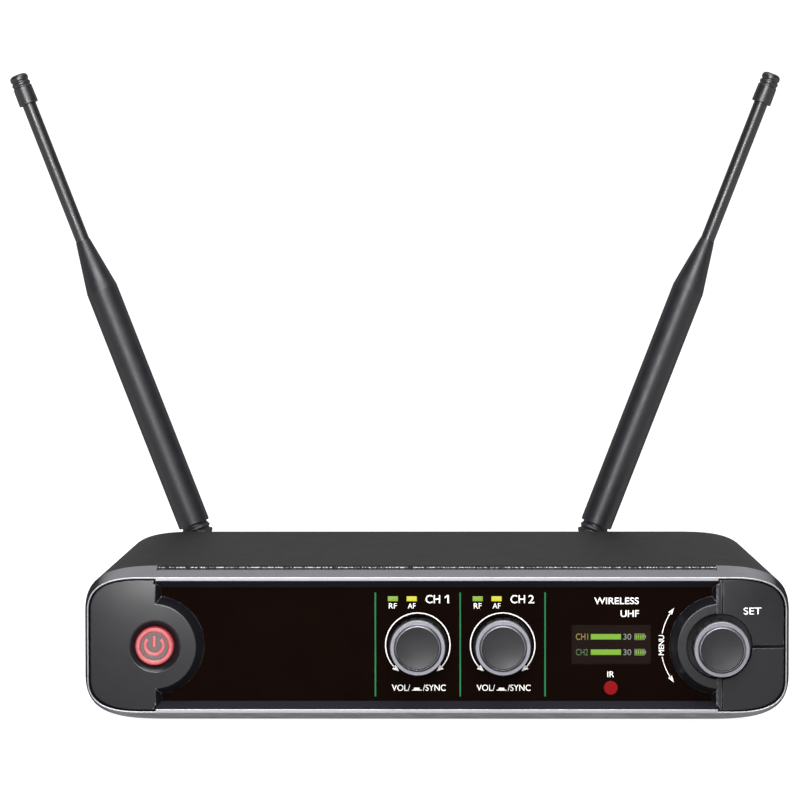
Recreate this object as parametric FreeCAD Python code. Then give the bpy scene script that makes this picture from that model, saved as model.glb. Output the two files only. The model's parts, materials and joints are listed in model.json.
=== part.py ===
"""Half-rack dual-channel wireless microphone receiver with two swivelling whip antennas.

Frame: X to the right as seen from the front, Y from the front to the rear, Z up. The origin is on the
table, under the middle of the case. Units are millimetres. Every separate piece is one STEP file.
"""
import FreeCAD
import Part
import math
import os

V = FreeCAD.Vector
FAR = 200.0               # reach of a block that cuts a part off
os.makedirs("parts", exist_ok=True)

# ---------------------------------------------------------------- driving dimensions
CASE_W = 210.0            # overall width of the case
CASE_H = 45.8             # case height without the feet, one rack unit with a little lip
CASE_D = 150.0            # front rim to rear edge
FOOT_H = 2.0
SHEET = 1.2               # steel sheet thickness
FRONT_Y = -CASE_D / 2     # plane of the bezel rim
REAR_Y = CASE_D / 2
MID_Z = FOOT_H + CASE_H / 2
CONTROL_Z = MID_Z - 0.3   # height of the knobs' and the power button's axes
FIT = 0.15                # gap between pieces that are fitted into each other
CAP_GAP = 0.28            # joint seen around the end caps and the keys
TOUCH = 0.3               # gap between pieces that move past each other

# Rounded section of the case: half sizes, corner extents, and how square each corner is.
OUTER = dict(w=CASE_W / 2, h=CASE_H / 2, a=22.5, b=13.3, ka=0.70, kb=0.78)
RIM = dict(w=103.7, h=20.2, a=15.4, b=9.8, ka=0.61, kb=0.75)

COVER_Y = FRONT_Y + 10.0          # front edge of the sheet cover
BEZEL_BACK_Y = COVER_Y - TOUCH    # rear shoulder of the bezel
SLOPE_END_Y = BEZEL_BACK_Y - 1.2  # where the bezel's outer slope meets the full outline
TONGUE_Y = COVER_Y + 5.0          # rear end of the bezel's tongue inside the cover
SPLIT_Z = FOOT_H + 14.0           # the cover ends here and the chassis begins

FASCIA_Y = FRONT_Y + 3.4          # front face of the fascia window
FASCIA_T = 2.0
FASCIA_HALF_H = 16.9              # visible half height of the fascia
FASCIA_X = 81.7                   # visible half width of the fascia
RIM_INNER_H = 19.1                # half height of the rim's opening over the fascia
CAP_X = 83.4                      # straight edge of the end caps at the rim
CAP_R = 12.6                      # radius of each end cap's round nose at the rim
CAP_FOOT_R = 14.7                 # and where it meets the fascia
RIM_EDGE_R = 0.22                 # rounding of the rim's edges
RIM_SIDE_W = 0.55                 # width of the rim beside and around the end caps
POCKET_D = 7.0                    # depth of the pockets that hold the end caps
TONGUE_INSET = 1.5                # how far the opening behind the pockets stands inside the rim's outline
CAP_EDGE_R = 0.3                  # rounding of the end caps' front edges
KEY_EDGE_R = 0.2
DOME_RISE = 0.5                   # how far the end caps' crowned faces stand in front of the rim
DOME_R = 200.0            # radius of that crown
NOTCH_X = 83.3                    # half length of the relief along the bezel's upper rear edge

CHANNEL_PITCH = 25.2
VOL_X = (-5.6, -5.6 + CHANNEL_PITCH)
KNOB_X = CAP_X + 0.3              # menu knob and power button stand on this line, right and left
KNOB_R = 8.2
KNOB_HOLE_R = 8.8
MENU_HOLE_R = 9.6
VOL_FRONT_Y = FASCIA_Y - 8.8      # outer zone of the volume knobs' trim rings
VOL_BACK_Y = FASCIA_Y + 1.5
MENU_FRONT_Y = FRONT_Y - 9.6
MENU_BACK_Y = FRONT_Y + 3.2
PUSH_TRAVEL = 0.8                 # of a volume knob
KEY_TRAVEL = 0.6
BUTTON_TRAVEL = 1.0
BUTTON_R = 5.6                    # power button
BUTTON_FACE_Y = FRONT_Y - 0.1
BUTTON_HOLE_R = BUTTON_R + 0.2
DISH_R = 8.0                      # the countersink around the power button
DISC_R = 4.15                     # opaque disc inside the button's lit ring
SYMBOL_DEPTH = 0.8

LED_Z = MID_Z + 13.5
LED_W, LED_H = 3.0, 1.45
RF_LED_X = tuple(x - 7.4 for x in VOL_X)
AF_LED_X = tuple(x - 1.8 for x in VOL_X)
DISPLAY = dict(x=51.8, z=MID_Z - 0.1, w=23.5, h=11.5)
IR = dict(x=51.7, z=MID_Z - 13.0, r=2.05)
LENS_Y = FASCIA_Y - 0.05

SUBPANEL_Y = FRONT_Y + 8.5        # front face of the steel sub-panel
SUBPANEL_T = 1.0
SUBPANEL_BACK_Y = SUBPANEL_Y + SUBPANEL_T
ENCODER_DEPTH = 6.5
FRONT_BOARD_Y = SUBPANEL_BACK_Y + ENCODER_DEPTH
BOARD_T = 1.6
MAIN_BOARD_Z = FOOT_H + SHEET + 5.0
BOARD_TOP_Z = MAIN_BOARD_Z + BOARD_T
RIBBON_END_Y = -34.0
SHIELDS = [(-72, 26), (46, 26)]   # middles of the two tuner cans

FLUTES = 18
FLUTE_R = 0.62
RING_DEPTH = 1.6
LIP_R = 7.05                      # foot of the trim ring's raised inner lip
LIP_TOP_R = 6.65
LIP_EDGE_R = 0.38                 # rounding of the lip's outer edge
LIP_RISE = 1.4                    # how far the lip stands in front of the ring's outer edge
FACE_R = 6.35                     # dished face inside the ring
FACE_GAP = 0.15                   # groove between the face and the lip
DISH_SPHERE_R = 46.0
SHAFT_R = 3.0
BUSH_R = 3.5
BUSH_END_Y = SUBPANEL_Y - 3.9
SHAFT_END_Y = SUBPANEL_Y + 5.4
ROTOR_R = 5.0
ROTOR_T = 1.1
ROTOR_Y = SUBPANEL_BACK_Y + 1.8

REAR_PANEL_Y = REAR_Y - 1.2       # outer face of the rear panel
CONNECTOR_Z = MID_Z + 2.0
ANTENNA_X = {"left": -75.4, "right": 46.3}
ANTENNA_TILT = 21.3               # degrees outwards from upright
PIVOT_Y = REAR_PANEL_Y + 26.7     # elbow axis of both antennas
XLR_X = (-44.0, -15.0)
XLR_Z = CONNECTOR_Z - 1
MIX_JACK_X = 15.5
DC_JACK_X = 74.0
XLR_BODY_R = 11.0
XLR_BORE_R = 9.5
XLR_FLOOR_Y = REAR_PANEL_Y - 10.6
XLR_MOUTH_Y = REAR_PANEL_Y + 1.6
XLR_PINS = [(-3.81, 2.2), (3.81, 2.2), (0.0, -4.2)]
PIN_R = 1.2
MIX_BARREL_R = 4.5
MIX_BORE_R = 3.3                  # takes a quarter-inch plug
DC_BARREL_R = 5.0
DC_BORE_R = 2.9
SOCKET_R = 4.8                    # barrel of the antenna sockets
SOCKET_END_Y = REAR_PANEL_Y + 11.0
LUG_Y = REAR_PANEL_Y + 8.6
INSULATOR_R = 3.6
HOLE_GAP = 0.1                    # between a socket and its hole in the panel

KEY_STEM_X = 95.0
KEY_STEM_Z = (MID_Z + 9.0, MID_Z - 9.8)
SWITCH_TOP_Y = FRONT_BOARD_Y - 2.6
SWITCH_GAP = 0.1          # left between a pressed stem and its switch

# Screw places, as (x, y) from above or (x, z) from behind.
BOARD_SCREWS = [(-84, -40), (84, -40), (-84, 54), (84, 54), (0, -40), (0, 20)]
FLOOR_SCREWS = [(x, y) for x in (-60, 60) for y in (COVER_Y + 2.6, REAR_PANEL_Y - 5.5)]
SIDE_SCREWS_Y = (-40.0, 45.0)
SIDE_SCREW_Z = SPLIT_Z + 2.6
EAR_SCREWS = [(-96.0, SPLIT_Z + 0.5), (96.0, SPLIT_Z + 0.5)]
XLR_SCREWS = [(x + dx, XLR_Z + dz) for x in XLR_X for dx, dz in ((-9.3, 10.2), (9.3, -10.2))]
FASCIA_SCREWS = [(x, MID_Z + z) for x in (-50.0, 20.0, 68.0) for z in (-16.9, 16.9)]
FRONT_BOARD_SCREWS = [(x, MID_Z + z) for x in (-62.0, 34.0) for z in (-11.5, 11.5)]
SCREW_R = 1.25


# ---------------------------------------------------------------- small helpers
def save(name, *solids):
    """Write the solids of one node to its STEP file."""
    found = [s for shape in solids for s in shape.Solids]
    shape = found[0] if len(found) == 1 else Part.makeCompound(found)
    if not shape.isValid():
        print("INVALID", name)
    shape.exportStep(f"parts/{name}.step")


def box(x0, x1, y0, y1, z0, z1):
    return Part.makeBox(x1 - x0, y1 - y0, z1 - z0, V(x0, y0, z0))


def rod(r, x, z, y0, y1):
    """Cylinder along Y."""
    return Part.makeCylinder(r, y1 - y0, V(x, y0, z), V(0, 1, 0))


def tube(r_out, r_in, x, z, y0, y1):
    return rod(r_out, x, z, y0, y1).cut(rod(r_in, x, z, y0 - 1, y1 + 1))


def rod_x(r, y, z, x0, x1):
    """Cylinder along X."""
    x0, x1 = sorted((x0, x1))
    return Part.makeCylinder(r, x1 - x0, V(x0, y, z), V(1, 0, 0))


def post(r, x, y, z0, z1):
    """Cylinder along Z."""
    return Part.makeCylinder(r, z1 - z0, V(x, y, z0))


def cone_y(r0, r1, x, z, y0, y1):
    return Part.makeCone(r0, r1, y1 - y0, V(x, y0, z), V(0, 1, 0))


def turned(profile, x=0.0, z=0.0):
    """Solid of revolution about an axis along Y, from (radius, y) points."""
    points = [V(x + r, y, z) for r, y in profile]
    face = Part.Face(Part.makePolygon(points + points[:1]))
    return face.revolve(V(x, 0, z), V(0, 1, 0), 360)


def hex_nut(across, x, z, y0, y1, bore):
    r = across / math.sqrt(3)
    corners = [V(x + r * math.cos(math.radians(60 * i)), y0, z + r * math.sin(math.radians(60 * i)))
               for i in range(7)]
    nut = Part.Face(Part.makePolygon(corners)).extrude(V(0, y1 - y0, 0))
    return nut.cut(rod(bore, x, z, y0 - 1, y1 + 1))


def rounded(shape, radius, y_limit):
    """Rounds every edge that lies wholly in front of y_limit."""
    return shape.makeFillet(radius, [e for e in shape.Edges if e.BoundBox.YMax < y_limit])


def section_wire(spec, inset, y):
    """Closed outline of the case section, shrunk by inset, in the plane Y = y."""
    w, h = spec["w"] - inset, spec["h"] - inset
    a, b = spec["a"] - inset, spec["b"] - inset
    edges = []
    corners = [(1, 1), (1, -1), (-1, -1), (-1, 1)]
    for i, (sx, sz) in enumerate(corners):
        flat = [(w - a, h), (w - a + spec["ka"] * a, h)]
        side = [(w, h - b + spec["kb"] * b), (w, h - b)]
        curve = flat + side if sx == sz else side[::-1] + flat[::-1]
        points = [V(sx * px, y, MID_Z + sz * pz) for px, pz in curve]
        bezier = Part.BezierCurve()
        bezier.setPoles(points)
        edges.append((points[0], points[-1], bezier.toShape()))
    loop = []
    for i, (start, end, edge) in enumerate(edges):
        loop.append(edge)
        loop.append(Part.makeLine(end, edges[(i + 1) % 4][0]))
    return Part.Wire(loop)


def prism(spec, inset, y0, y1):
    """The case section as a solid from y0 to y1."""
    return Part.Face(section_wire(spec, inset, y0)).extrude(V(0, y1 - y0, 0))


def hollow(spec, outside, inside, y0, y1):
    return prism(spec, outside, y0, y1).cut(prism(spec, inside, y0 - 1, y1 + 1))


# ---------------------------------------------------------------- case
def case_shell():
    return hollow(OUTER, 0, SHEET, COVER_Y, REAR_Y)


def top_cover():
    """Top and upper sides in one bent sheet."""
    cover = case_shell().cut(box(-FAR, FAR, -FAR, FAR, -FAR, SPLIT_Z))
    for side in (-1, 1):
        for y in SIDE_SCREWS_Y:
            cover = cover.cut(rod_x(SCREW_R + 0.15, y, SIDE_SCREW_Z, side * 90, side * 110))
    return cover


def countersink(x, y, grow):
    """Cone of a sunk screw head in the chassis floor, enlarged by grow."""
    return Part.makeCone(2.5 + grow, SCREW_R + grow, SHEET - 0.1, V(x, y, FOOT_H), V(0, 0, 1))


def bottom_chassis():
    """Tray with a lap strip inside each side of the cover, ears for the rear panel and board bosses."""
    chassis = case_shell().cut(box(-FAR, FAR, -FAR, FAR, SPLIT_Z - 0.2, FAR))
    strip_out = CASE_W / 2 - SHEET - 0.1
    y0, y1 = TONGUE_Y + 1, REAR_PANEL_Y - SHEET
    for side in (-1, 1):
        for reach, top in ((strip_out, SPLIT_Z + 5), (strip_out + 0.3, SPLIT_Z - 0.2)):
            x0, x1 = sorted((side * (strip_out - 1.0), side * reach))
            chassis = chassis.fuse(box(x0, x1, y0, y1, SPLIT_Z - 4, top))
        x0, x1 = sorted((side * 91.0, side * strip_out))
        chassis = chassis.fuse(box(x0, x1, y1 - 1.2, y1, SPLIT_Z - 4, SPLIT_Z + 5))
        for y in SIDE_SCREWS_Y:
            chassis = chassis.cut(rod_x(SCREW_R, y, SIDE_SCREW_Z, side * 90, side * 110))
    for x, z in EAR_SCREWS:
        chassis = chassis.cut(rod(SCREW_R, x, z, y1 - 3, y1 + 1))
    for x, y in BOARD_SCREWS:
        boss = post(3.4, x, y, FOOT_H + SHEET - 0.2, MAIN_BOARD_Z)
        chassis = chassis.fuse(boss).cut(post(SCREW_R, x, y, FOOT_H + SHEET + 0.5, 50))
    for x, y in FLOOR_SCREWS:
        chassis = chassis.cut(post(SCREW_R + 0.2, x, y, 0, 5)).cut(countersink(x, y, 0.1))
    return chassis


def rear_panel():
    """Plate inside the rear of the case, with a folded flange along its top and bottom edge."""
    gap = SHEET + 0.1
    panel = prism(OUTER, gap, REAR_PANEL_Y - SHEET, REAR_PANEL_Y)
    for z0 in (FOOT_H + gap, FOOT_H + CASE_H - gap - 1.0):
        panel = panel.fuse(box(-78, 78, REAR_PANEL_Y - 9, REAR_PANEL_Y - SHEET + 0.1, z0, z0 + 1.0))
    places = [(x, CONNECTOR_Z, SOCKET_R) for x in ANTENNA_X.values()]
    places += [(x, XLR_Z, XLR_BODY_R) for x in XLR_X]
    places += [(MIX_JACK_X, CONNECTOR_Z, MIX_BARREL_R), (DC_JACK_X, CONNECTOR_Z, DC_BARREL_R)]
    places += [(x, z, SCREW_R) for x, z in EAR_SCREWS + XLR_SCREWS]
    holes = [rod(r + HOLE_GAP, x, z, REAR_PANEL_Y - SHEET - 1, REAR_Y) for x, z, r in places]
    holes += [post(SCREW_R, x, y, 0, FOOT_H + SHEET + 3) for x, y in FLOOR_SCREWS]
    for hole in holes:
        panel = panel.cut(hole)
    return panel


def beam(side, grow):
    """Sloped bar along the top or bottom of the front opening."""
    profile = [(FRONT_Y - grow, RIM_INNER_H - grow), (FASCIA_Y, FASCIA_HALF_H - grow), (FASCIA_Y, 19.9),
               (FRONT_Y - grow, 19.9)]
    reach = CAP_X + grow
    points = [V(-reach, y, MID_Z + side * z) for y, z in profile]
    face = Part.Face(Part.makePolygon(points + points[:1]))
    return face.extrude(V(2 * reach, 0, 0))


def front_bezel():
    """Cast frame: sloped outside, a shoulder for the cover, a tongue inside it and bosses behind."""
    slope = Part.makeLoft([section_wire(RIM, 0, FRONT_Y), section_wire(OUTER, 0, SLOPE_END_Y)],
                          True, True)
    frame = slope.fuse(prism(OUTER, 0, SLOPE_END_Y, BEZEL_BACK_Y))
    frame = frame.fuse(prism(OUTER, SHEET + FIT, BEZEL_BACK_Y, TONGUE_Y))
    frame = frame.cut(prism(RIM, RIM_SIDE_W, FRONT_Y - 1, FRONT_Y + POCKET_D))
    frame = frame.cut(prism(RIM, TONGUE_INSET, FRONT_Y + POCKET_D - 0.1, TONGUE_Y + 1))
    for side in (-1, 1):
        frame = frame.fuse(beam(side, 0))
    relief = box(-NOTCH_X, NOTCH_X, FRONT_Y + 1, BEZEL_BACK_Y + 1, MID_Z + OUTER["h"] - SHEET, FAR)
    frame = frame.cut(relief)
    for x, z in FASCIA_SCREWS:
        reach = 19.4 - abs(z - MID_Z)
        side = 1 if z > MID_Z else -1
        z0, z1 = sorted((z, z + side * reach))
        boss = rod(2.0, x, z, FASCIA_Y + FASCIA_T, SUBPANEL_Y)
        web = box(x - 2.0, x + 2.0, FASCIA_Y + FASCIA_T, SUBPANEL_Y, z0, z1)
        frame = frame.fuse(boss.fuse(web)).cut(rod(1.0, x, z, FASCIA_Y + FASCIA_T + 0.6, SUBPANEL_Y + 1))
    for x, y in FLOOR_SCREWS[::2]:
        frame = frame.cut(post(SCREW_R, x, y, 0, FOOT_H + 4.0))
    return rounded(frame.removeSplitter(), RIM_EDGE_R, FRONT_Y + 0.01)


# ---------------------------------------------------------------- fascia and what shows through it
def led_slot(x, grow):
    return box(x - LED_W / 2 - grow, x + LED_W / 2 + grow, FASCIA_Y - 1, FRONT_BOARD_Y,
               LED_Z - LED_H / 2 - grow, LED_Z + LED_H / 2 + grow)


def display_block(grow, y0, y1):
    d = DISPLAY
    return box(d["x"] - d["w"] / 2 - grow, d["x"] + d["w"] / 2 + grow, y0, y1,
               d["z"] - d["h"] / 2 - grow, d["z"] + d["h"] / 2 + grow)


def fascia_window():
    y0, y1 = FASCIA_Y, FASCIA_Y + FASCIA_T
    plate = box(-CAP_X + 0.3, CAP_X - 0.3, y0, y1, MID_Z - 18.2, MID_Z + 18.2)
    for x in (-KNOB_X, KNOB_X):
        plate = plate.cut(rod(CAP_R - 0.1, x, CONTROL_Z, y0 - 1, y1 + 1))
    for x in VOL_X:
        plate = plate.cut(rod(KNOB_HOLE_R, x, CONTROL_Z, y0 - 1, y1 + 1))
    for x in RF_LED_X + AF_LED_X:
        plate = plate.cut(led_slot(x, 0.03))
    plate = plate.cut(rod(IR["r"] + 0.03, IR["x"], IR["z"], y0 - 1, y1 + 1))
    return plate.cut(display_block(0.05, y0 - 1, y1 + 1))


def led_lens(x):
    """Light pipe with its square LED foot on the front board."""
    w, h = LED_W / 2, LED_H / 2
    pipe = box(x - w, x + w, LENS_Y, FRONT_BOARD_Y - 1.0, LED_Z - h, LED_Z + h)
    foot = box(x - 1.9, x + 1.9, FRONT_BOARD_Y - 2.6, FRONT_BOARD_Y, LED_Z - 1.4, LED_Z + 1.4)
    return pipe.fuse(foot)


def ir_window():
    lens = rod(IR["r"], IR["x"], IR["z"], LENS_Y, FASCIA_Y + FASCIA_T)
    return lens.fuse(rod(IR["r"] + 0.7, IR["x"], IR["z"], FASCIA_Y + FASCIA_T, FASCIA_Y + FASCIA_T + 1.5))


def display_module():
    glass = display_block(0, FASCIA_Y, FASCIA_Y + FASCIA_T)
    body = display_block(2.2, FASCIA_Y + FASCIA_T, FASCIA_Y + FASCIA_T + 2.2)
    return glass.fuse(body)


def front_subpanel():
    """Steel plate that carries the encoders, with pressed spacers for the front board."""
    y0, y1 = SUBPANEL_Y, SUBPANEL_BACK_Y
    plate = prism(RIM, TONGUE_INSET + FIT, y0, y1)
    for x, z in FRONT_BOARD_SCREWS:
        plate = plate.fuse(rod(2.4, x, z, y1 - 0.1, FRONT_BOARD_Y))
        plate = plate.cut(rod(SCREW_R, x, z, y1 + 1, FRONT_BOARD_Y + 1))
    holes = [rod(BUSH_R + 0.1, x, CONTROL_Z, y0 - 1, y1 + 1) for x in VOL_X + (KNOB_X,)]
    holes += [rod(3.4, -KNOB_X, CONTROL_Z, y0 - 1, y1 + 1)]
    holes += [led_slot(x, 0.4) for x in RF_LED_X + AF_LED_X]
    holes += [rod(3.0, IR["x"], IR["z"], y0 - 1, y1 + 1)]
    holes += [box(44, 60, y0 - 1, y1 + 1, MID_Z - 6, MID_Z + 6)]
    holes += [rod(1.1, x, z, y0 - 1, y1 + 1) for x, z in FASCIA_SCREWS]
    for z in KEY_STEM_Z:
        holes.append(box(KEY_STEM_X - 2.6, KEY_STEM_X + 2.6, y0 - 1, y1 + 1, z - 2.6, z + 2.6))
    for hole in holes:
        plate = plate.cut(hole)
    return plate


# ---------------------------------------------------------------- end caps
def cap_wire(side, gap, edge_x, nose_r, y):
    """Outline of an end cap: the rim's inner line, closed by a straight edge with a round nose."""
    inset = RIM_SIDE_W + gap
    w, h = RIM["w"] - inset, RIM["h"] - inset
    a, b = RIM["a"] - inset, RIM["b"] - inset
    curves = []
    for sz in (1, -1):
        poles = [(w - a, h), (w - a + RIM["ka"] * a, h), (w, h - b + RIM["kb"] * b), (w, h - b)]
        curve = Part.BezierCurve()
        curve.setPoles([V(side * px, y, MID_Z + sz * pz) for px, pz in poles])
        curves.append(curve.toShape())
    rise = math.sqrt(nose_r ** 2 - (KNOB_X - edge_x) ** 2)

    def at(x, z):
        return V(side * x, y, z)

    top, bottom = MID_Z + h, MID_Z - h
    low, high = at(edge_x, CONTROL_Z - rise), at(edge_x, CONTROL_Z + rise)
    nose = Part.Arc(low, at(KNOB_X - nose_r, CONTROL_Z), high)
    edges = [Part.makeLine(at(edge_x, top), at(w - a, top)), curves[0],
             Part.makeLine(at(w, top - b), at(w, bottom + b)), curves[1],
             Part.makeLine(at(w - a, bottom), at(edge_x, bottom)),
             Part.makeLine(at(edge_x, bottom), low), nose.toShape(), Part.makeLine(high, at(edge_x, top))]
    return Part.Wire(Part.sortEdges(edges)[0])


def dome(side):
    """Ball that crowns the end caps' front faces: they bend back above, below and outwards."""
    return Part.makeSphere(DOME_R, V(side * (KNOB_X - 6), FRONT_Y - DOME_RISE + DOME_R, MID_Z))


def cap_blank(side):
    """End cap before its openings are cut: a crowned front with a sloped edge, and a straight rear part."""
    front_y = FRONT_Y - DOME_RISE - 1
    slope_per_mm = (FASCIA_X - CAP_X) / (FASCIA_Y - FRONT_Y)
    front_x = CAP_X + slope_per_mm * (front_y - FRONT_Y)
    nose_slope = (CAP_FOOT_R - CAP_R) / (FASCIA_Y - FRONT_Y)
    front_r = CAP_R + nose_slope * (front_y - FRONT_Y)
    front = Part.makeLoft([cap_wire(side, CAP_GAP, FASCIA_X, CAP_FOOT_R, FASCIA_Y),
                           cap_wire(side, CAP_GAP, front_x, front_r, front_y)], True, True)
    front = front.common(dome(side))
    for half in (-1, 1):
        front = front.cut(beam(half, CAP_GAP))
    rear_depth = POCKET_D - 0.2 - (FASCIA_Y - FRONT_Y)
    rear_face = Part.Face(cap_wire(side, FIT, CAP_X - 0.1, CAP_R - 0.3, FASCIA_Y))
    return front.fuse(rear_face.extrude(V(0, rear_depth, 0)))


def power_end_cap():
    cap = cap_blank(-1)
    dish = cone_y(DISH_R, BUTTON_HOLE_R, -KNOB_X, CONTROL_Z, FRONT_Y - DOME_RISE - 0.1, FRONT_Y + 1.4)
    cap = cap.cut(dish).cut(rod(BUTTON_HOLE_R, -KNOB_X, CONTROL_Z, FRONT_Y, FRONT_Y + 5.2))
    cap = cap.cut(rod(2.6, -KNOB_X, CONTROL_Z, FRONT_Y, FRONT_Y + 20))
    return rounded(cap, CAP_EDGE_R, FRONT_Y + 1.2)


def key_region(top):
    """Prism of one key: outside the knob hole, right of the rib, above or below the middle."""
    y0, y1 = FRONT_Y - 3, FASCIA_Y - 0.1
    outer = Part.Face(cap_wire(1, CAP_GAP, FASCIA_X, CAP_FOOT_R, y0)).extrude(V(0, y1 - y0, 0))
    x0 = CAP_X + 1.3
    edge = CONTROL_Z + (0.35 if top else -0.55)
    z0, z1 = (edge, FAR) if top else (-FAR, edge)
    region = outer.common(box(x0, FAR, y0 - 1, y1 + 1, z0, z1))
    return region.cut(rod(MENU_HOLE_R + FIT, KNOB_X, CONTROL_Z, y0 - 1, y1 + 1))


def menu_end_cap():
    cap = cap_blank(1)
    floor_y = FRONT_Y + 4.2
    cap = cap.cut(rod(MENU_HOLE_R, KNOB_X, CONTROL_Z, FRONT_Y - 3, floor_y))
    cap = rounded(cap, CAP_EDGE_R, FRONT_Y + 1.2)
    # the keys' bay is open to the front, and the upright rib stands beside it
    bay = box(CAP_X + 1.1, FAR, FRONT_Y - 3, floor_y, 0, FAR)
    cap = cap.cut(bay)
    groove = box(CAP_X - 0.45, CAP_X - 0.15, FRONT_Y - 3, FRONT_Y + 1.2, 0, FAR)
    lower_rib = box(CAP_X - 0.15, CAP_X + 1.2, FRONT_Y - 3, FRONT_Y + 0.5, 0, FAR)
    cap = cap.cut(groove).cut(lower_rib)
    cap = cap.cut(rod(4.2, KNOB_X, CONTROL_Z, FRONT_Y, FRONT_Y + 20))
    for z in KEY_STEM_Z:
        cap = cap.cut(box(KEY_STEM_X - 2.3, KEY_STEM_X + 2.3, FRONT_Y, FRONT_Y + 20, z - 2.3, z + 2.3))
    return cap


def key(top):
    """One quarter key with its crowned face and the stem that reaches its switch."""
    cap = rounded(key_region(top).common(dome(1)), KEY_EDGE_R, FRONT_Y + 2.5)
    z = KEY_STEM_Z[0] if top else KEY_STEM_Z[1]
    stem_end = SWITCH_TOP_Y - KEY_TRAVEL - SWITCH_GAP
    stem = box(KEY_STEM_X - 2, KEY_STEM_X + 2, FASCIA_Y - 0.3, stem_end, z - 2, z + 2)
    return cap.fuse(stem)


def power_symbol(y0, y1):
    """Bar and open circle of the on/off symbol."""
    x, z = -KNOB_X, CONTROL_Z
    half_gap = math.radians(44)
    reach = 9.0
    dx, dz = reach * math.sin(half_gap), reach * math.cos(half_gap)
    mid_z = z + 0.3
    corners = [V(x, y0 - 1, mid_z), V(x + dx, y0 - 1, mid_z + dz), V(x - dx, y0 - 1, mid_z + dz)]
    wedge = Part.Face(Part.makePolygon(corners + corners[:1])).extrude(V(0, y1 - y0 + 2, 0))
    circle = tube(3.25, 2.15, x, mid_z, y0, y1).cut(wedge)
    return circle, box(x - 0.52, x + 0.52, y0, y1, z - 0.3, z + 3.1)


def power_button_lens():
    """Clear light guide: outer ring, symbol, skirt and the stem that reaches the switch."""
    x, z, y0 = -KNOB_X, CONTROL_Z, BUTTON_FACE_Y
    guide = rod(BUTTON_R, x, z, y0 + 0.12, y0 + 3.7).cut(rod(DISC_R, x, z, y0 - 1, y0 + SYMBOL_DEPTH))
    edge = turned([(DISC_R, y0 + 0.12), (DISC_R, y0), (BUTTON_R - 0.3, y0), (BUTTON_R, y0 + 0.3),
                   (BUTTON_R - 0.5, y0 + 0.5)], x, z)
    guide = guide.common(rod(BUTTON_R, x, z, y0 + 0.3, y0 + 4)).fuse(edge)
    for mark in power_symbol(y0, y0 + SYMBOL_DEPTH + 0.1):
        guide = guide.fuse(mark)
    stem_end = SWITCH_TOP_Y - BUTTON_TRAVEL - SWITCH_GAP
    return guide.fuse(rod(2.4, x, z, y0 + 3.6, stem_end))


def power_button_cap():
    """Thin opaque disc set into the light guide, pierced by the symbol."""
    y0 = BUTTON_FACE_Y
    disc = rod(DISC_R, -KNOB_X, CONTROL_Z, y0 + 0.05, y0 + SYMBOL_DEPTH)
    for mark in power_symbol(y0 - 1, y0 + 2):
        disc = disc.cut(mark)
    return disc


# ---------------------------------------------------------------- knobs and encoders
def knob_body(x, z, front_y, back_y):
    """Fluted barrel with a dished face inside the trim ring, a hub for the shaft, hollow from behind."""
    shoulder_y = front_y + RING_DEPTH
    face_y = front_y - LIP_RISE + 0.1
    body = rod(KNOB_R - 0.1, x, z, shoulder_y, back_y)
    body = body.fuse(rod(FACE_R, x, z, face_y + 0.9, shoulder_y + 0.1))
    body = body.fuse(rod(FACE_R - FACE_GAP, x, z, face_y, shoulder_y))
    dish = Part.makeSphere(DISH_SPHERE_R, V(x, face_y + 0.6 - DISH_SPHERE_R, z))
    body = body.cut(dish).cut(tube(7.0, 4.8, x, z, front_y + 3.4, back_y + 1))
    body = body.cut(rod(SHAFT_R, x, z, front_y + 2.6, back_y + 1))
    body = body.cut(rod(BUSH_R + 0.4, x, z, BUSH_END_Y - 1.4, back_y + 1))
    groove_at = KNOB_R + 0.05
    for i in range(FLUTES):
        turn = math.radians(360 / FLUTES * (i + 0.5))
        gx, gz = x + groove_at * math.cos(turn), z + groove_at * math.sin(turn)
        body = body.cut(rod(FLUTE_R, gx, gz, shoulder_y + 0.5, back_y + 1))
    return body


def knob_ring(x, z, front_y):
    """Bright trim ring: a small outer bevel, a flat zone and a raised, rounded inner lip."""
    back = front_y + RING_DEPTH
    bevel = 0.18
    lip_y = front_y - LIP_RISE
    ring = turned([(FACE_R, back), (KNOB_R, back), (KNOB_R, front_y + bevel), (KNOB_R - bevel, front_y),
                   (LIP_R, front_y), (LIP_TOP_R, lip_y), (FACE_R, lip_y)], x, z)
    front_edges = [e for e in ring.Edges if e.BoundBox.YMax < lip_y + 0.01]
    outer_edge = [e for e in front_edges if e.BoundBox.XLength > 2 * FACE_R + 0.3]
    return ring.makeFillet(LIP_EDGE_R, outer_edge)


def flat_side(r, x, z, y0, y1):
    """What is cut off a round shaft of radius r to give it a flat on top."""
    return box(x - 2 * r, x + 2 * r, y0, y1, z + 0.75 * r, z + 3 * r)


def encoder_shaft(x, z, front_y, push):
    """Shaft with a flat at its inner end. A shaft that doesn't push carries its own contact disc."""
    end = SHAFT_END_Y - (PUSH_TRAVEL if push else 0)
    shaft = rod(SHAFT_R, x, z, front_y + 2.6, end)
    if push:
        return shaft.cut(flat_side(SHAFT_R, x, z, ROTOR_Y - 1.0, end + 1))
    return shaft.fuse(rod(ROTOR_R, x, z, ROTOR_Y, ROTOR_Y + ROTOR_T))


def encoder_rotor(x, z):
    """Contact disc that turns with the shaft and lets it slide through."""
    bore = rod(SHAFT_R + 0.05, x, z, ROTOR_Y - 1, ROTOR_Y + 3)
    bore = bore.cut(flat_side(SHAFT_R + 0.07, x, z, ROTOR_Y - 2, ROTOR_Y + 4))
    return rod(ROTOR_R, x, z, ROTOR_Y, ROTOR_Y + ROTOR_T).cut(bore)


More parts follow.
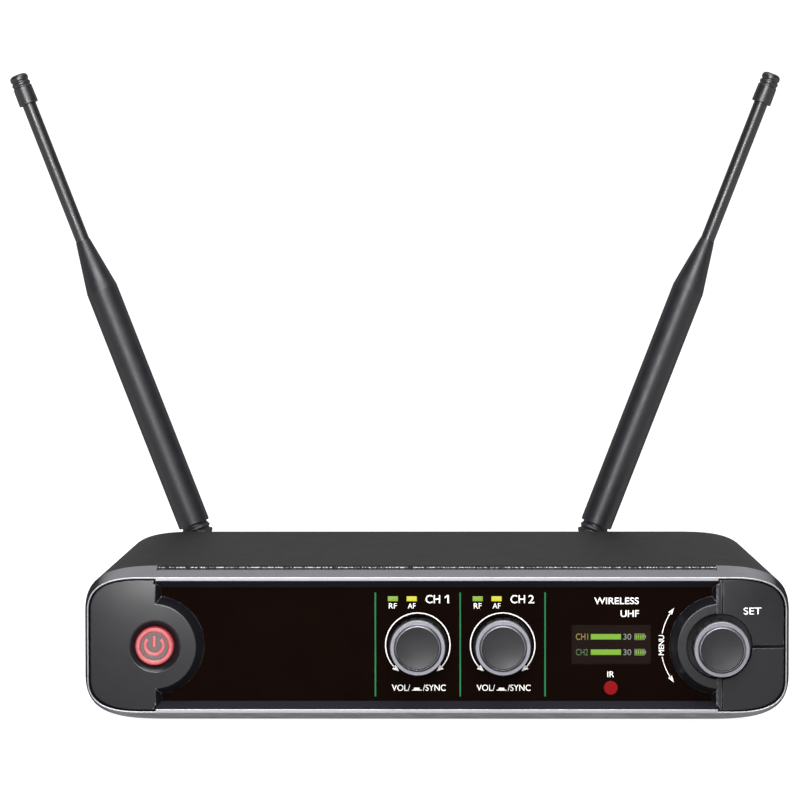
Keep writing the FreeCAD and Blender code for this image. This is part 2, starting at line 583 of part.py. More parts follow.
def encoder_body(x, z):
    """Switch housing behind the sub-panel with its threaded bush through it."""
    y0 = SUBPANEL_BACK_Y
    body = box(x - 6, x + 6, y0, y0 + ENCODER_DEPTH, z - 6.2, z + 6.2)
    body = body.fuse(rod(BUSH_R, x, z, BUSH_END_Y, y0 + 0.5))
    body = body.cut(rod(SHAFT_R + 0.05, x, z, BUSH_END_Y - 1, y0 + 2.0))
    return body.cut(rod(ROTOR_R + 0.4, x, z, ROTOR_Y - 0.2, y0 + ENCODER_DEPTH - 1.2))


# ---------------------------------------------------------------- boards and internals
def key_switches():
    """Small tactile switches on the front board, behind the power button and the two keys."""
    y1 = FRONT_BOARD_Y
    places = [(-KNOB_X, CONTROL_Z), (KEY_STEM_X, KEY_STEM_Z[0]), (KEY_STEM_X, KEY_STEM_Z[1])]
    return [box(x - 3, x + 3, y1 - 2.2, y1, z - 3, z + 3).fuse(rod(1.6, x, z, SWITCH_TOP_Y, y1 - 2.0))
            for x, z in places]


def front_board():
    y0 = FRONT_BOARD_Y
    board = box(-99, 99, y0, y0 + BOARD_T, MID_Z - 14, MID_Z + 14.5)
    for x, z in FRONT_BOARD_SCREWS:
        board = board.cut(rod(SCREW_R, x, z, y0 - 1, y0 + 3))
    return board


def main_board():
    board = box(-90, 90, -46, 61, MAIN_BOARD_Z, BOARD_TOP_Z)
    for x, y in BOARD_SCREWS:
        board = board.cut(post(SCREW_R, x, y, 0, 30))
    return board


def connector_board():
    """Upright board behind the audio sockets that joins their contacts to the main board."""
    y1 = XLR_FLOOR_Y - 3
    board = box(-58, 0, y1 - BOARD_T, y1, BOARD_TOP_Z, 40)
    for x in XLR_X:
        for px, pz in XLR_PINS:
            board = board.cut(rod(PIN_R, x + px, XLR_Z + pz, 50, 70))
    return board


def tuner_shield_cans():
    cans = []
    for x, y in SHIELDS:
        can = box(x - 17, x + 17, y - 20, y + 20, BOARD_TOP_Z, BOARD_TOP_Z + 7)
        can = can.makeFillet(0.8, [e for e in can.Edges if e.BoundBox.ZLength > 6])
        cavity = box(x - 16.6, x + 16.6, y - 19.6, y + 19.6, BOARD_TOP_Z - 1, BOARD_TOP_Z + 6.6)
        cans.append(can.cut(cavity))
    return cans


def board_capacitors():
    places = [(-20, -28, 5.0, 14), (-8, -28, 5.0, 14), (6, -30, 4.0, 11), (16, -30, 4.0, 11),
              (66, -30, 4.0, 11), (76, -28, 5.0, 14), (-40, -30, 3.2, 8), (-48, -30, 3.2, 8)]
    return [post(r, x, y, BOARD_TOP_Z, BOARD_TOP_Z + h) for x, y, r, h in places]


def board_chips():
    """Integrated circuits and the upright voltage regulator."""
    chips = [(-60, -22, 14, 14, 2.0), (-14, 0, 10, 10, 1.6), (12, -2, 10, 10, 1.6), (34, -26, 18, 8, 2.4),
             (-34, 2, 8, 6, 1.6), (74, 0, 9, 6, 1.8)]
    solids = [box(x - w / 2, x + w / 2, y - d / 2, y + d / 2, BOARD_TOP_Z, BOARD_TOP_Z + h)
              for x, y, w, d, h in chips]
    regulator = box(49, 59, -40, -35.5, BOARD_TOP_Z + 3, BOARD_TOP_Z + 18)
    for x in (51.5, 54, 56.5):
        regulator = regulator.fuse(box(x - 0.4, x + 0.4, -38.2, -37.6, BOARD_TOP_Z, BOARD_TOP_Z + 3.1))
    return solids + [regulator]


def ribbon_cable():
    """Flat cable from the front board's rear face down to the main board."""
    half_t, width, r, left = 0.2, 24.0, 3.0, 22.0
    y0, z0 = FRONT_BOARD_Y + BOARD_T, MID_Z - 6
    y_down = y0 + 3 + r
    z1 = BOARD_TOP_Z + half_t
    mid = r * (1 - math.sqrt(0.5))

    def at(y, z):
        return V(left, y, z)

    path = Part.Wire([
        Part.makeLine(at(y0, z0), at(y0 + 3, z0)),
        Part.Arc(at(y0 + 3, z0), at(y_down - mid, z0 - mid), at(y_down, z0 - r)).toShape(),
        Part.makeLine(at(y_down, z0 - r), at(y_down, z1 + r)),
        Part.Arc(at(y_down, z1 + r), at(y_down + mid, z1 + mid), at(y_down + r, z1)).toShape(),
        Part.makeLine(at(y_down + r, z1), at(RIBBON_END_Y, z1))])
    corners = [V(left, y0, z0 - half_t), V(left + width, y0, z0 - half_t),
               V(left + width, y0, z0 + half_t), V(left, y0, z0 + half_t)]
    section = Part.makePolygon(corners + corners[:1])
    return path.makePipeShell([section], True, False)


# ---------------------------------------------------------------- rear connectors
def xlr_socket(x):
    """Male chassis socket: a cup behind the panel with a squarish flange outside it."""
    body = rod(XLR_BODY_R, x, XLR_Z, XLR_FLOOR_Y - 3, XLR_MOUTH_Y)
    flange = box(x - 12, x + 12, REAR_PANEL_Y, XLR_MOUTH_Y, XLR_Z - 13, XLR_Z + 13)
    flange = flange.makeFillet(2.6, [e for e in flange.Edges if e.BoundBox.YLength > 1.5])
    body = body.fuse(flange).cut(rod(XLR_BORE_R, x, XLR_Z, XLR_FLOOR_Y, XLR_MOUTH_Y + 1))
    slot_z = XLR_Z + XLR_BORE_R
    body = body.cut(box(x - 2, x + 2, XLR_MOUTH_Y - 5, XLR_MOUTH_Y + 1, slot_z - 0.5, slot_z + 0.8))
    for px, pz in XLR_PINS:
        body = body.cut(rod(PIN_R, x + px, XLR_Z + pz, XLR_FLOOR_Y - 5, XLR_FLOOR_Y + 1))
    rim = [e for e in body.Edges if e.BoundBox.YMin > XLR_MOUTH_Y - 0.01 and e.Length > 4]
    body = body.makeFillet(0.3, rim)
    for sx, sz in XLR_SCREWS:
        body = body.cut(rod(SCREW_R, sx, sz, REAR_PANEL_Y - 2, XLR_MOUTH_Y + 1))
    return body


def round_pin(r, x, z, y0, y1):
    """Contact pin with a rounded tip at its rear-facing end."""
    return rod(r, x, z, y0, y1 - r).fuse(Part.makeSphere(r, V(x, y1 - r, z)))


def connector_pins():
    pins = [round_pin(PIN_R, x + px, XLR_Z + pz, XLR_FLOOR_Y - 6, XLR_MOUTH_Y - 1.6)
            for x in XLR_X for px, pz in XLR_PINS]
    pins.append(round_pin(1.0, DC_JACK_X, CONNECTOR_Z, REAR_PANEL_Y - 9.5, REAR_PANEL_Y - 0.2))
    return pins


def mix_jack():
    """Quarter-inch jack: a moulded body behind the panel and a threaded barrel through it."""
    x, z = MIX_JACK_X, CONNECTOR_Z
    y1 = REAR_PANEL_Y - SHEET
    body = box(x - 8, x + 8, y1 - 25, y1, z - 7.5, z + 7.5)
    barrel = rod(MIX_BARREL_R, x, z, y1 - 1, REAR_PANEL_Y + 4.4)
    return body.fuse(barrel).cut(rod(MIX_BORE_R, x, z, y1 - 22, REAR_PANEL_Y + 10))


def dc_jack():
    """Low-voltage power inlet: a round threaded body, open to the rear around its centre pin."""
    x, z = DC_JACK_X, CONNECTOR_Z
    body = rod(6.5, x, z, REAR_PANEL_Y - 11.0, REAR_PANEL_Y - SHEET)
    body = body.fuse(rod(DC_BARREL_R, x, z, REAR_PANEL_Y - SHEET - 0.1, REAR_PANEL_Y + 3.4))
    body = body.cut(rod(DC_BORE_R, x, z, REAR_PANEL_Y - 8.5, REAR_PANEL_Y + 5))
    return body.cut(rod(1.0, x, z, REAR_PANEL_Y - 9.5, REAR_PANEL_Y - 8.4))


def antenna_socket(x):
    """Bayonet bulkhead socket: a flange inside the panel and a barrel with two lugs."""
    z, y = CONNECTOR_Z, REAR_PANEL_Y
    body = rod(SOCKET_R, x, z, y - 8.0, SOCKET_END_Y)
    body = body.fuse(rod(7.0, x, z, y - SHEET - 2.0, y - SHEET))
    for side in (-1, 1):
        body = body.fuse(Part.makeCylinder(0.95, 6.0, V(x, LUG_Y, z), V(0, 0, side)))
    body = body.cut(rod(INSULATOR_R, x, z, y - 9.0, y + 6.0))
    return body.cut(rod(4.1, x, z, y + 5.9, SOCKET_END_Y + 1))


def antenna_insulator(x):
    """White insulator with the socket's centre contact through it."""
    z, y = CONNECTOR_Z, REAR_PANEL_Y
    body = rod(INSULATOR_R, x, z, y - 8.0, y + 2.0)
    return body.fuse(rod(1.38, x, z, y + 1.9, y + 7.0)).fuse(rod(0.7, x, z, y - 11.0, y - 7.9))


def plug_nut(x):
    """Knurled bayonet nut of the antenna plug, locked on the socket's lugs."""
    z = CONNECTOR_Z
    y0, y1 = REAR_PANEL_Y + 4.2, REAR_PANEL_Y + 17.8
    nut = turned([(4.9, y0), (6.6, y0), (7.0, y0 + 0.4), (7.0, y0 + 5.2), (7.25, y0 + 5.5), (7.25, y1 - 0.6),
                  (6.7, y1), (4.0, y1), (4.0, y1 - 5.6), (4.9, y1 - 5.6)], x, z)
    for side in (-1, 1):
        nut = nut.cut(Part.makeCylinder(1.35, 9.0, V(x, LUG_Y, z), V(0, 0, side)))
    ribs = 24
    for i in range(ribs):
        turn = math.radians(360 / ribs * (i + 0.5))
        nut = nut.cut(rod(0.4, x + 7.35 * math.cos(turn), z + 7.35 * math.sin(turn), y0 + 6.0, y1 - 0.9))
    return nut


def nuts():
    """Hexagon nuts of the panel connectors and of the encoders."""
    y = REAR_PANEL_Y
    found = [hex_nut(11.0, x, CONNECTOR_Z, y, y + 2.0, 4.85) for x in ANTENNA_X.values()]
    found.append(hex_nut(12.0, MIX_JACK_X, CONNECTOR_Z, y, y + 2.4, 4.55))
    found.append(hex_nut(13.0, DC_JACK_X, CONNECTOR_Z, y, y + 2.2, 5.05))
    for x in VOL_X + (KNOB_X,):
        found.append(hex_nut(10.0, x, CONTROL_Z, SUBPANEL_Y - 1.4, SUBPANEL_Y, BUSH_R + 0.03))
    return found


# ---------------------------------------------------------------- antennas
FORK_R = 5.4
TONGUE_HALF = 2.5
SLEEVE_R = 5.45
COLLAR_BASE = 9.0         # start of the ribbed collar above the elbow axis
SLEEVE_BASE = 23.2
SLEEVE_TOP = SLEEVE_BASE + 87.3
CONE_TOP = SLEEVE_TOP + 17.7
WHIP_R = 2.38
CAP_BASE = CONE_TOP + 50.4
CAP_TOP = CAP_BASE + 10.6


def upright(profile):
    """Solid of revolution about Z through the elbow axis, from (radius, height) points."""
    points = [V(r, 0, h) for r, h in profile]
    face = Part.Face(Part.makePolygon(points + points[:1]))
    return face.revolve(V(0, 0, 0), V(0, 0, 1), 360)


def place(side, shape):
    """Put a piece modelled upright on the elbow axis where the tilted antenna stands."""
    tilt = ANTENNA_TILT if side == "right" else -ANTENNA_TILT
    made = shape.copy()
    made.rotate(V(0, 0, 0), V(0, 1, 0), tilt)
    made.translate(V(ANTENNA_X[side], PIVOT_Y, CONNECTOR_Z))
    return made


def knuckle():
    """Plug core with the fork that carries the elbow pin; the plug points to the front."""
    back = PIVOT_Y - REAR_PANEL_Y
    fork = Part.makeCylinder(FORK_R, 14.0, V(-7, 0, 0), V(1, 0, 0))
    fork = fork.fuse(box(-7, 7, -8.8, 0, -FORK_R, FORK_R))
    fork = fork.common(Part.makeCylinder(FORK_R + 0.05, 20, V(0, -8.8, 0), V(0, 1, 0)))
    fork = fork.cut(box(-TONGUE_HALF - 0.15, TONGUE_HALF + 0.15, -6.0, 10, -10, 10))
    fork = fork.fuse(rod(3.9, 0, 0, -back + 11.3, -8.7)).fuse(rod(3.6, 0, 0, -back + 6.2, -back + 11.4))
    fork = fork.cut(rod(1.45, 0, 0, -back, -back + 8.0))
    fork = fork.makeFillet(0.3, [e for e in fork.Edges if e.BoundBox.YMin > -5 and e.Length > 2])
    return fork.cut(Part.makeCylinder(1.2, 30, V(-15, 0, 0), V(1, 0, 0)))


def elbow_pin():
    return Part.makeCylinder(1.2, 8.4, V(-4.2, 0, 0), V(1, 0, 0))


def collar():
    """Tongue in the fork, and the ribbed strain-relief collar above it."""
    tongue = Part.makeCylinder(4.9, 2 * TONGUE_HALF, V(-TONGUE_HALF, 0, 0), V(1, 0, 0))
    tongue = tongue.fuse(box(-TONGUE_HALF, TONGUE_HALF, -4.0, 4.0, 0, COLLAR_BASE + 1))
    rib_pitch = 2.45
    profile = [(0, COLLAR_BASE - 2.2), (3.4, COLLAR_BASE - 2.2), (5.3, COLLAR_BASE)]
    count = int((SLEEVE_BASE - COLLAR_BASE) / rib_pitch)
    for i in range(count):
        h = COLLAR_BASE + 0.9 + i * rib_pitch
        profile += [(5.35, h), (5.2, h + 0.5), (4.55, h + 0.7), (4.55, h + 1.2), (5.1, h + rib_pitch - 0.6)]
    profile += [(4.4, SLEEVE_BASE - 0.5), (4.4, SLEEVE_BASE), (0, SLEEVE_BASE)]
    made = tongue.fuse(upright(profile))
    return made.cut(Part.makeCylinder(1.25, 30, V(-15, 0, 0), V(1, 0, 0)))


def sleeve():
    """Moulded sleeve with a long cone, bored for the whip."""
    bore = WHIP_R
    return upright([(bore, SLEEVE_BASE), (SLEEVE_R - 0.25, SLEEVE_BASE), (SLEEVE_R, SLEEVE_BASE + 0.3),
                    (SLEEVE_R, SLEEVE_TOP - 0.5), (SLEEVE_R - 0.12, SLEEVE_TOP + 0.3),
                    (WHIP_R + 0.3, CONE_TOP - 1.0), (WHIP_R + 0.1, CONE_TOP), (bore, CONE_TOP)])


def whip():
    return upright([(0, SLEEVE_BASE), (WHIP_R, SLEEVE_BASE), (WHIP_R, CAP_BASE + 3.0), (0, CAP_BASE + 3.0)])


def tip_cap():
    """Push-on cap: plain skirt, two ribs and a rounded end."""
    b, t = CAP_BASE, CAP_TOP
    skirt = [(WHIP_R, b), (3.25, b), (3.35, b + 0.2), (3.25, b + 6.0), (2.95, b + 6.35), (2.95, b + 6.7)]
    ribs = [(3.2, b + 7.0), (3.2, b + 7.6), (2.85, b + 8.0), (2.85, b + 8.35), (3.15, b + 8.7),
            (3.15, b + 9.6)]
    return upright(skirt + ribs + [(2.8, t - 0.35), (2.1, t), (0, t), (0, b + 3.0), (WHIP_R, b + 3.0)])


def coax_pigtail(side):
    """Thin coax from the socket's rear contact down to the main board, beside the tuner can."""
    x = ANTENNA_X[side]
    y0, z0 = REAR_PANEL_Y - 11.0, CONNECTOR_Z
    r = 5.0
    mid = r * (1 - math.sqrt(0.5))
    y1 = y0 - 3.0
    y2 = y1 - r
    path = Part.Wire([
        Part.makeLine(V(x, y0, z0), V(x, y1, z0)),
        Part.Arc(V(x, y1, z0), V(x, y2 + mid, z0 - mid), V(x, y2, z0 - r)).toShape(),
        Part.makeLine(V(x, y2, z0 - r), V(x, y2, BOARD_TOP_Z))])
    ring = Part.Wire([Part.Circle(V(x, y0, z0), V(0, 1, 0), 0.9).toShape()])
    return path.makePipeShell([ring], True, False)


# ---------------------------------------------------------------- feet and fasteners
FEET = [(x, y) for x in (-82, 82) for y in (-38, 54)]


def foot(x, y):
    r = 6.5
    pad = post(r, x, y, 0, FOOT_H)
    return pad.makeFillet(0.6, [e for e in pad.Edges if abs(e.BoundBox.ZMax) < 0.01])


def pan_head(r, height, x, z, y):
    """Pan head that stands behind the panel with a cross recess."""
    side, crown, top = y + height * 0.45, y + height * 0.85, y + height
    head = turned([(0, y), (r, y), (r, side), (r * 0.8, crown), (0, top)], x, z)
    for w, h in ((r * 1.1, 0.5), (0.5, r * 1.1)):
        head = head.cut(box(x - w / 2, x + w / 2, y + height * 0.35, top + 1, z - h / 2, z + h / 2))
    return head


def screw_y(shank_r, head_r, x, z, seat_y, length):
    """Screw along Y with its head behind the seat plane."""
    shank = rod(shank_r, x, z, seat_y - length, seat_y)
    return shank.fuse(pan_head(head_r, 1.6, x, z, seat_y))


def floor_screw(x, y):
    """Screw driven upwards through the chassis floor, with its head sunk flush into the sheet."""
    head = countersink(x, y, 0)
    slot = 3.2
    for w, d in ((slot, 0.5), (0.5, slot)):
        head = head.cut(box(x - w / 2, x + w / 2, y - d / 2, y + d / 2, 0, FOOT_H + 0.5))
    return head.fuse(post(SCREW_R, x, y, FOOT_H + 0.6, FOOT_H + 4.0))


def side_screw(side, y):
    """Low-headed screw through the cover's side into the chassis strip."""
    wall = side * CASE_W / 2
    head = rod_x(2.6, y, SIDE_SCREW_Z, wall, wall + side * 1.1)
    for w, h in ((3.2, 0.5), (0.5, 3.2)):
        x0, x1 = sorted((wall + side * 0.5, wall + side * 2))
        head = head.cut(box(x0, x1, y - w / 2, y + w / 2, SIDE_SCREW_Z - h / 2, SIDE_SCREW_Z + h / 2))
    return head.fuse(rod_x(SCREW_R, y, SIDE_SCREW_Z, wall, wall - side * 4.0))


def case_screws():
    screws = [screw_y(SCREW_R, 2.4, x, z, REAR_PANEL_Y, 4.0) for x, z in EAR_SCREWS]
    screws += [screw_y(SCREW_R, 2.1, x, z, XLR_MOUTH_Y, 5.0) for x, z in XLR_SCREWS]
    screws += [floor_screw(x, y) for x, y in FLOOR_SCREWS]
    screws += [side_screw(side, y) for side in (-1, 1) for y in SIDE_SCREWS_Y]
    return screws


def inner_screws():
    """Screws that hold the boards and the sub-panel."""
    screws = []
    for x, y in BOARD_SCREWS:
        head = post(2.6, x, y, BOARD_TOP_Z, BOARD_TOP_Z + 1.6)
        screws.append(head.fuse(post(SCREW_R, x, y, MAIN_BOARD_Z - 3.5, BOARD_TOP_Z)))
    screws += [screw_y(1.0, 1.7, x, z, SUBPANEL_BACK_Y, 3.3) for x, z in FASCIA_SCREWS]
    screws += [screw_y(SCREW_R, 2.3, x, z, FRONT_BOARD_Y + BOARD_T, 5.0) for x, z in FRONT_BOARD_SCREWS]
    return screws


# ---------------------------------------------------------------- write every node
SINGLE = [top_cover, bottom_chassis, rear_panel, front_bezel, front_subpanel, fascia_window, power_end_cap,
          menu_end_cap, ir_window, display_module, front_board, main_board, connector_board, ribbon_cable,
          mix_jack, dc_jack, power_button_cap, power_button_lens]
for make in SINGLE:
    save(make.__name__, make())

GROUPS = [tuner_shield_cans, board_capacitors, board_chips, key_switches, connector_pins, nuts, case_screws,
          inner_screws]
for make in GROUPS:
    save(make.__name__, *make())

save("rf_led_lenses", *[led_lens(x) for x in RF_LED_X])
save("af_led_lenses", *[led_lens(x) for x in AF_LED_X])
save("xlr_sockets", *[xlr_socket(x) for x in XLR_X])
save("antenna_sockets", *[antenna_socket(x) for x in ANTENNA_X.values()])
save("antenna_insulators", *[antenna_insulator(x) for x in ANTENNA_X.values()])
save("antenna_plug_nuts", *[plug_nut(x) for x in ANTENNA_X.values()])
save("antenna_coax", *[coax_pigtail(side) for side in ANTENNA_X])
save("feet", *[foot(x, y) for x, y in FEET])
save("set_key", key(True))
save("lower_key", key(False))

KNOBS = [("volume_1", VOL_X[0], VOL_FRONT_Y, VOL_BACK_Y, True),
         ("volume_2", VOL_X[1], VOL_FRONT_Y, VOL_BACK_Y, True),
         ("menu", KNOB_X, MENU_FRONT_Y, MENU_BACK_Y, False)]
for name, x, front_y, back_y, push in KNOBS:
    save(f"{name}_knob", knob_body(x, CONTROL_Z, front_y, back_y))
    save(f"{name}_ring", knob_ring(x, CONTROL_Z, front_y))
    save(f"{name}_shaft", encoder_shaft(x, CONTROL_Z, front_y, push))
    if push:
        save(f"{name}_rotor", encoder_rotor(x, CONTROL_Z))
save("encoder_bodies", *[encoder_body(x, CONTROL_Z) for _, x, _, _, _ in KNOBS])

ANTENNA_PIECES = [knuckle, elbow_pin, collar, sleeve, whip, tip_cap]
for side in ANTENNA_X:
    for make in ANTENNA_PIECES:
        save(f"{side}_{make.__name__}", place(side, make()))
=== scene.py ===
import json
import math

import bmesh
import bpy
from mathutils import Matrix, Vector

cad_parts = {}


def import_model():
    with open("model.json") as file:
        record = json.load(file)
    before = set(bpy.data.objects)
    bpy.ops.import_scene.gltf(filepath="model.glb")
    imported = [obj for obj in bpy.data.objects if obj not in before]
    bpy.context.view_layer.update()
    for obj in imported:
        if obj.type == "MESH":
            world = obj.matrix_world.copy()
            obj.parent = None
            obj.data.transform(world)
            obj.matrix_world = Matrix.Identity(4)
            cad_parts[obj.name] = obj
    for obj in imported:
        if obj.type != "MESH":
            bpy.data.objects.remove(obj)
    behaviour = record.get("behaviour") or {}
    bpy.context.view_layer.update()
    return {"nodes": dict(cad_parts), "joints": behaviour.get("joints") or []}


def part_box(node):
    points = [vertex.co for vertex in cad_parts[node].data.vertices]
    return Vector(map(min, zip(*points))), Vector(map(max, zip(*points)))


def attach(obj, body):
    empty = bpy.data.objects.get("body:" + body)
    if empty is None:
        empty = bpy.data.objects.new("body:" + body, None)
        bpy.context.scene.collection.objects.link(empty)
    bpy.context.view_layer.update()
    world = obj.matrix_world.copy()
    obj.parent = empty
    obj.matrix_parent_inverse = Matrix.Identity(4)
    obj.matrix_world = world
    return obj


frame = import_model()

MM = 0.001
NODES = frame["nodes"]
JOINTS = {joint["name"]: joint for joint in frame["joints"]}


# ---------------------------------------------------------------- places read from the frame
def axis_point(joint):
    """A joint's point in the row frame."""
    return Vector(JOINTS[joint]["pos_m"])


def centre(node):
    low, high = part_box(node)
    return (low + high) / 2


FASCIA_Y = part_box("fascia_window")[0].y
COVER_LOW, COVER_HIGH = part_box("top_cover")
BEZEL_LOW, BEZEL_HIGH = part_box("front_bezel")
MID_Z = (BEZEL_LOW.z + BEZEL_HIGH.z) / 2
DISPLAY = centre("display_module")
DISPLAY_X, DISPLAY_Z = DISPLAY.x, DISPLAY.z
IR_X = centre("ir_window").x
VOLUME = [axis_point("volume_1_turn"), axis_point("volume_2_turn")]
MENU = axis_point("menu_turn")
BUTTON = centre("power_button_lens")
PITCH = VOLUME[1].x - VOLUME[0].x
INK = 0.03 * MM           # how far the printed legends stand proud


# ---------------------------------------------------------------- materials
def srgb(red, green, blue):
    """Linear colour of an 8-bit display colour."""
    def linear(value):
        share = value / 255
        return share / 12.92 if share <= 0.04045 else ((share + 0.055) / 1.055) ** 2.4
    return linear(red), linear(green), linear(blue), 1.0


def scaled(colour, share):
    return tuple(min(1.0, part * share) for part in colour[:3]) + (1.0,)


# cosine between the true and the rounded normal, on a flat face and on a full edge
FLAT_COSINE, EDGE_COSINE = 0.995, 0.85
# sockets of the Mix node, which has one set for numbers and one for colours
NUMBER_A, NUMBER_B, NUMBER_OUT = 2, 3, 0
COLOUR_A, COLOUR_B, COLOUR_OUT = 6, 7, 2


class Surface:
    """A material under construction: a Principled shader fed by object coordinates."""

    def __init__(self, name, rough, metallic=0.0, specular=0.5):
        self.material = bpy.data.materials.new(name)
        self.material.use_nodes = True
        self.tree = self.material.node_tree
        self.shader = self.tree.nodes["Principled BSDF"]
        self.set(self.shader, Roughness=rough, Metallic=metallic)
        self.shader.inputs["Specular IOR Level"].default_value = specular
        self.place = self.add("ShaderNodeTexCoord").outputs["Object"]

    def add(self, kind, **settings):
        node = self.tree.nodes.new(kind)
        for key, value in settings.items():
            setattr(node, key, value)
        return node

    def set(self, node, **values):
        for key, value in values.items():
            node.inputs[key.replace("_", " ")].default_value = value
        return node

    def link(self, source, target):
        self.tree.links.new(source, target)

    def noise(self, size_mm, detail=3.0, stretch=(1, 1, 1)):
        """Noise from 0 to 1 whose features are about size_mm wide."""
        mapping = self.add("ShaderNodeMapping")
        mapping.inputs["Scale"].default_value = [1 / s for s in stretch]
        self.link(self.place, mapping.inputs["Vector"])
        noise = self.set(self.add("ShaderNodeTexNoise"), Scale=1 / (size_mm * MM), Detail=detail)
        self.link(mapping.outputs["Vector"], noise.inputs["Vector"])
        return noise.outputs["Fac"]

    def remap(self, value, low, high, to_low=0.0, to_high=1.0):
        """Value from low to high spread over to_low to to_high, and held there outside."""
        limits = {"From_Min": low, "From_Max": high, "To_Min": to_low, "To_Max": to_high}
        node = self.set(self.add("ShaderNodeMapRange"), **limits)
        self.link(value, node.inputs["Value"])
        return node.outputs["Result"]

    def math(self, operation, first, second):
        node = self.add("ShaderNodeMath", operation=operation)
        for socket, value in zip(node.inputs, (first, second)):
            if isinstance(value, (int, float)):
                socket.default_value = value
            else:
                self.link(value, socket)
        return node.outputs[0]

    def mix(self, share, first, second):
        """Colour from first to second by share; each is a colour or a socket."""
        node = self.add("ShaderNodeMix", data_type="RGBA")
        self.link(share, node.inputs["Factor"])
        for socket, value in zip(node.inputs[COLOUR_A:COLOUR_B + 1], (first, second)):
            if isinstance(value, tuple):
                socket.default_value = value
            else:
                self.link(value, socket)
        return node.outputs[COLOUR_OUT]

    def edges(self, radius_mm):
        """Rounded normal, and a mask that is 1 on edges and 0 on flats."""
        bevel = self.add("ShaderNodeBevel", samples=6)
        bevel.inputs["Radius"].default_value = radius_mm * MM
        geometry = self.add("ShaderNodeNewGeometry")
        dot = self.add("ShaderNodeVectorMath", operation="DOT_PRODUCT")
        self.link(bevel.outputs["Normal"], dot.inputs[0])
        self.link(geometry.outputs["Normal"], dot.inputs[1])
        return bevel.outputs["Normal"], self.remap(dot.outputs["Value"], FLAT_COSINE, EDGE_COSINE)

    def bump(self, height, depth_mm, normal):
        """Normal roughened by a height map whose full scale is depth_mm."""
        node = self.set(self.add("ShaderNodeBump"), Strength=1.0, Distance=depth_mm * MM)
        self.link(height, node.inputs["Height"])
        self.link(normal, node.inputs["Normal"])
        return node.outputs["Normal"]

    def across(self, vector):
        """The part of a vector that lies across the depth of the case."""
        node = self.add("ShaderNodeVectorMath", operation="MULTIPLY")
        self.link(vector, node.inputs[0])
        node.inputs[1].default_value = (1, 0, 1)
        return node.outputs["Vector"]

    def normal_across(self):
        """The part of the surface normal that lies across the depth of the case."""
        return self.across(self.add("ShaderNodeNewGeometry").outputs["Normal"])

    def normal_parts(self):
        """X and Z of the surface normal, as sockets."""
        split = self.add("ShaderNodeSeparateXYZ")
        self.link(self.normal_across(), split.inputs[0])
        return split.outputs["X"], split.outputs["Z"]

    def away_from(self, point):
        """Vector from a point to the surface, taken across the depth of the case."""
        node = self.add("ShaderNodeVectorMath", operation="SUBTRACT")
        self.link(self.place, node.inputs[0])
        node.inputs[1].default_value = point
        return self.across(node.outputs["Vector"])

    def distance(self, point):
        """Distance from the line along Y through point."""
        length = self.add("ShaderNodeVectorMath", operation="LENGTH")
        self.link(self.away_from(point), length.inputs[0])
        return length.outputs["Value"]

    def below(self, axis, limit):
        """Mask that is 1 where the object coordinate along axis is under limit, in metres."""
        split = self.add("ShaderNodeSeparateXYZ")
        self.link(self.place, split.inputs[0])
        return self.math("LESS_THAN", split.outputs[axis], limit)

    def repaint(self, mask, value, socket="Base Color"):
        """Puts value, a colour or a number, over what feeds a socket, where mask is 1."""
        target = self.shader.inputs[socket]
        under = target.links[0].from_socket if target.links else target.default_value
        if isinstance(value, tuple):
            self.link(self.mix(mask, under, value), target)
            return
        node = self.add("ShaderNodeMix")
        self.link(mask, node.inputs["Factor"])
        if target.links:
            self.link(under, node.inputs[NUMBER_A])
        else:
            node.inputs[NUMBER_A].default_value = under
        node.inputs[NUMBER_B].default_value = value
        self.link(node.outputs[NUMBER_OUT], target)


NOISE_RANGE = (0.3, 0.7)      # where nearly all of a noise's values lie
CLOUD_MM = 14.0               # size of the cloudy changes of tone
WEAR_AND_HIGHLIGHT_MM = 1.6                 # size of the patches of wear and painted highlight along edges
SHEEN_MM = 5.0                # size of the changes of gloss


def finish(name, colour, rough, grain, depth, metallic=0.0, specular=0.5, edge=None, edge_mm=0.2, blotch=0.12,
           stretch=(1, 1, 1), rough_spread=0.06):
    """General surface: grain bump, cloudy tone and gloss, and rubbed edges whose light colour is partly a
    painted highlight.

    grain and depth are the size and the height of the grain in mm. edge is the colour of rubbed edges; where
    it is light it also stands as a painted highlight along them.
    blotch is the share by which the tone varies, rough_spread the amount by which the gloss does."""
    made = Surface(name, rough, metallic, specular)
    normal, mask = made.edges(edge_mm)
    grains = made.noise(grain, 2.0, stretch)
    clouds = made.noise(CLOUD_MM, 4.0)
    darker, lighter = scaled(colour, 1 - blotch), scaled(colour, 1 + blotch)
    tone = made.mix(made.remap(clouds, *NOISE_RANGE), darker, lighter)
    tone = made.mix(made.remap(grains, 0.35, 0.7, 0.0, 0.35), tone, lighter)
    if edge:
        # edges lightened in patches: partly rubbed wear, partly a painted highlight along rounded edges
        wear_and_highlight = made.remap(made.noise(WEAR_AND_HIGHLIGHT_MM), 0.4, 0.62, 0.15, 0.8)
        tone = made.mix(made.math("MULTIPLY", mask, wear_and_highlight), tone, edge)
    made.link(tone, made.shader.inputs["Base Color"])
    gloss = made.remap(made.noise(SHEEN_MM, 5.0), *NOISE_RANGE, rough - rough_spread, rough + rough_spread)
    made.link(gloss, made.shader.inputs["Roughness"])
    made.link(made.bump(grains, depth, normal), made.shader.inputs["Normal"])
    return made


def soften_grazing(made):
    """Turns the gloss rougher where the surface is seen at a grazing angle."""
    weight = made.set(made.add("ShaderNodeLayerWeight"), Blend=0.5).outputs["Facing"]
    made.repaint(made.remap(weight, 0.3, 0.8), 1.0, "Roughness")
    return made


CUT_EDGE = 0.06 * MM                   # depth of the cover's cut front edge
BARE_LINE = (0.45 * MM, 0.8 * MM)      # the line of bare metal, down from the cover's top


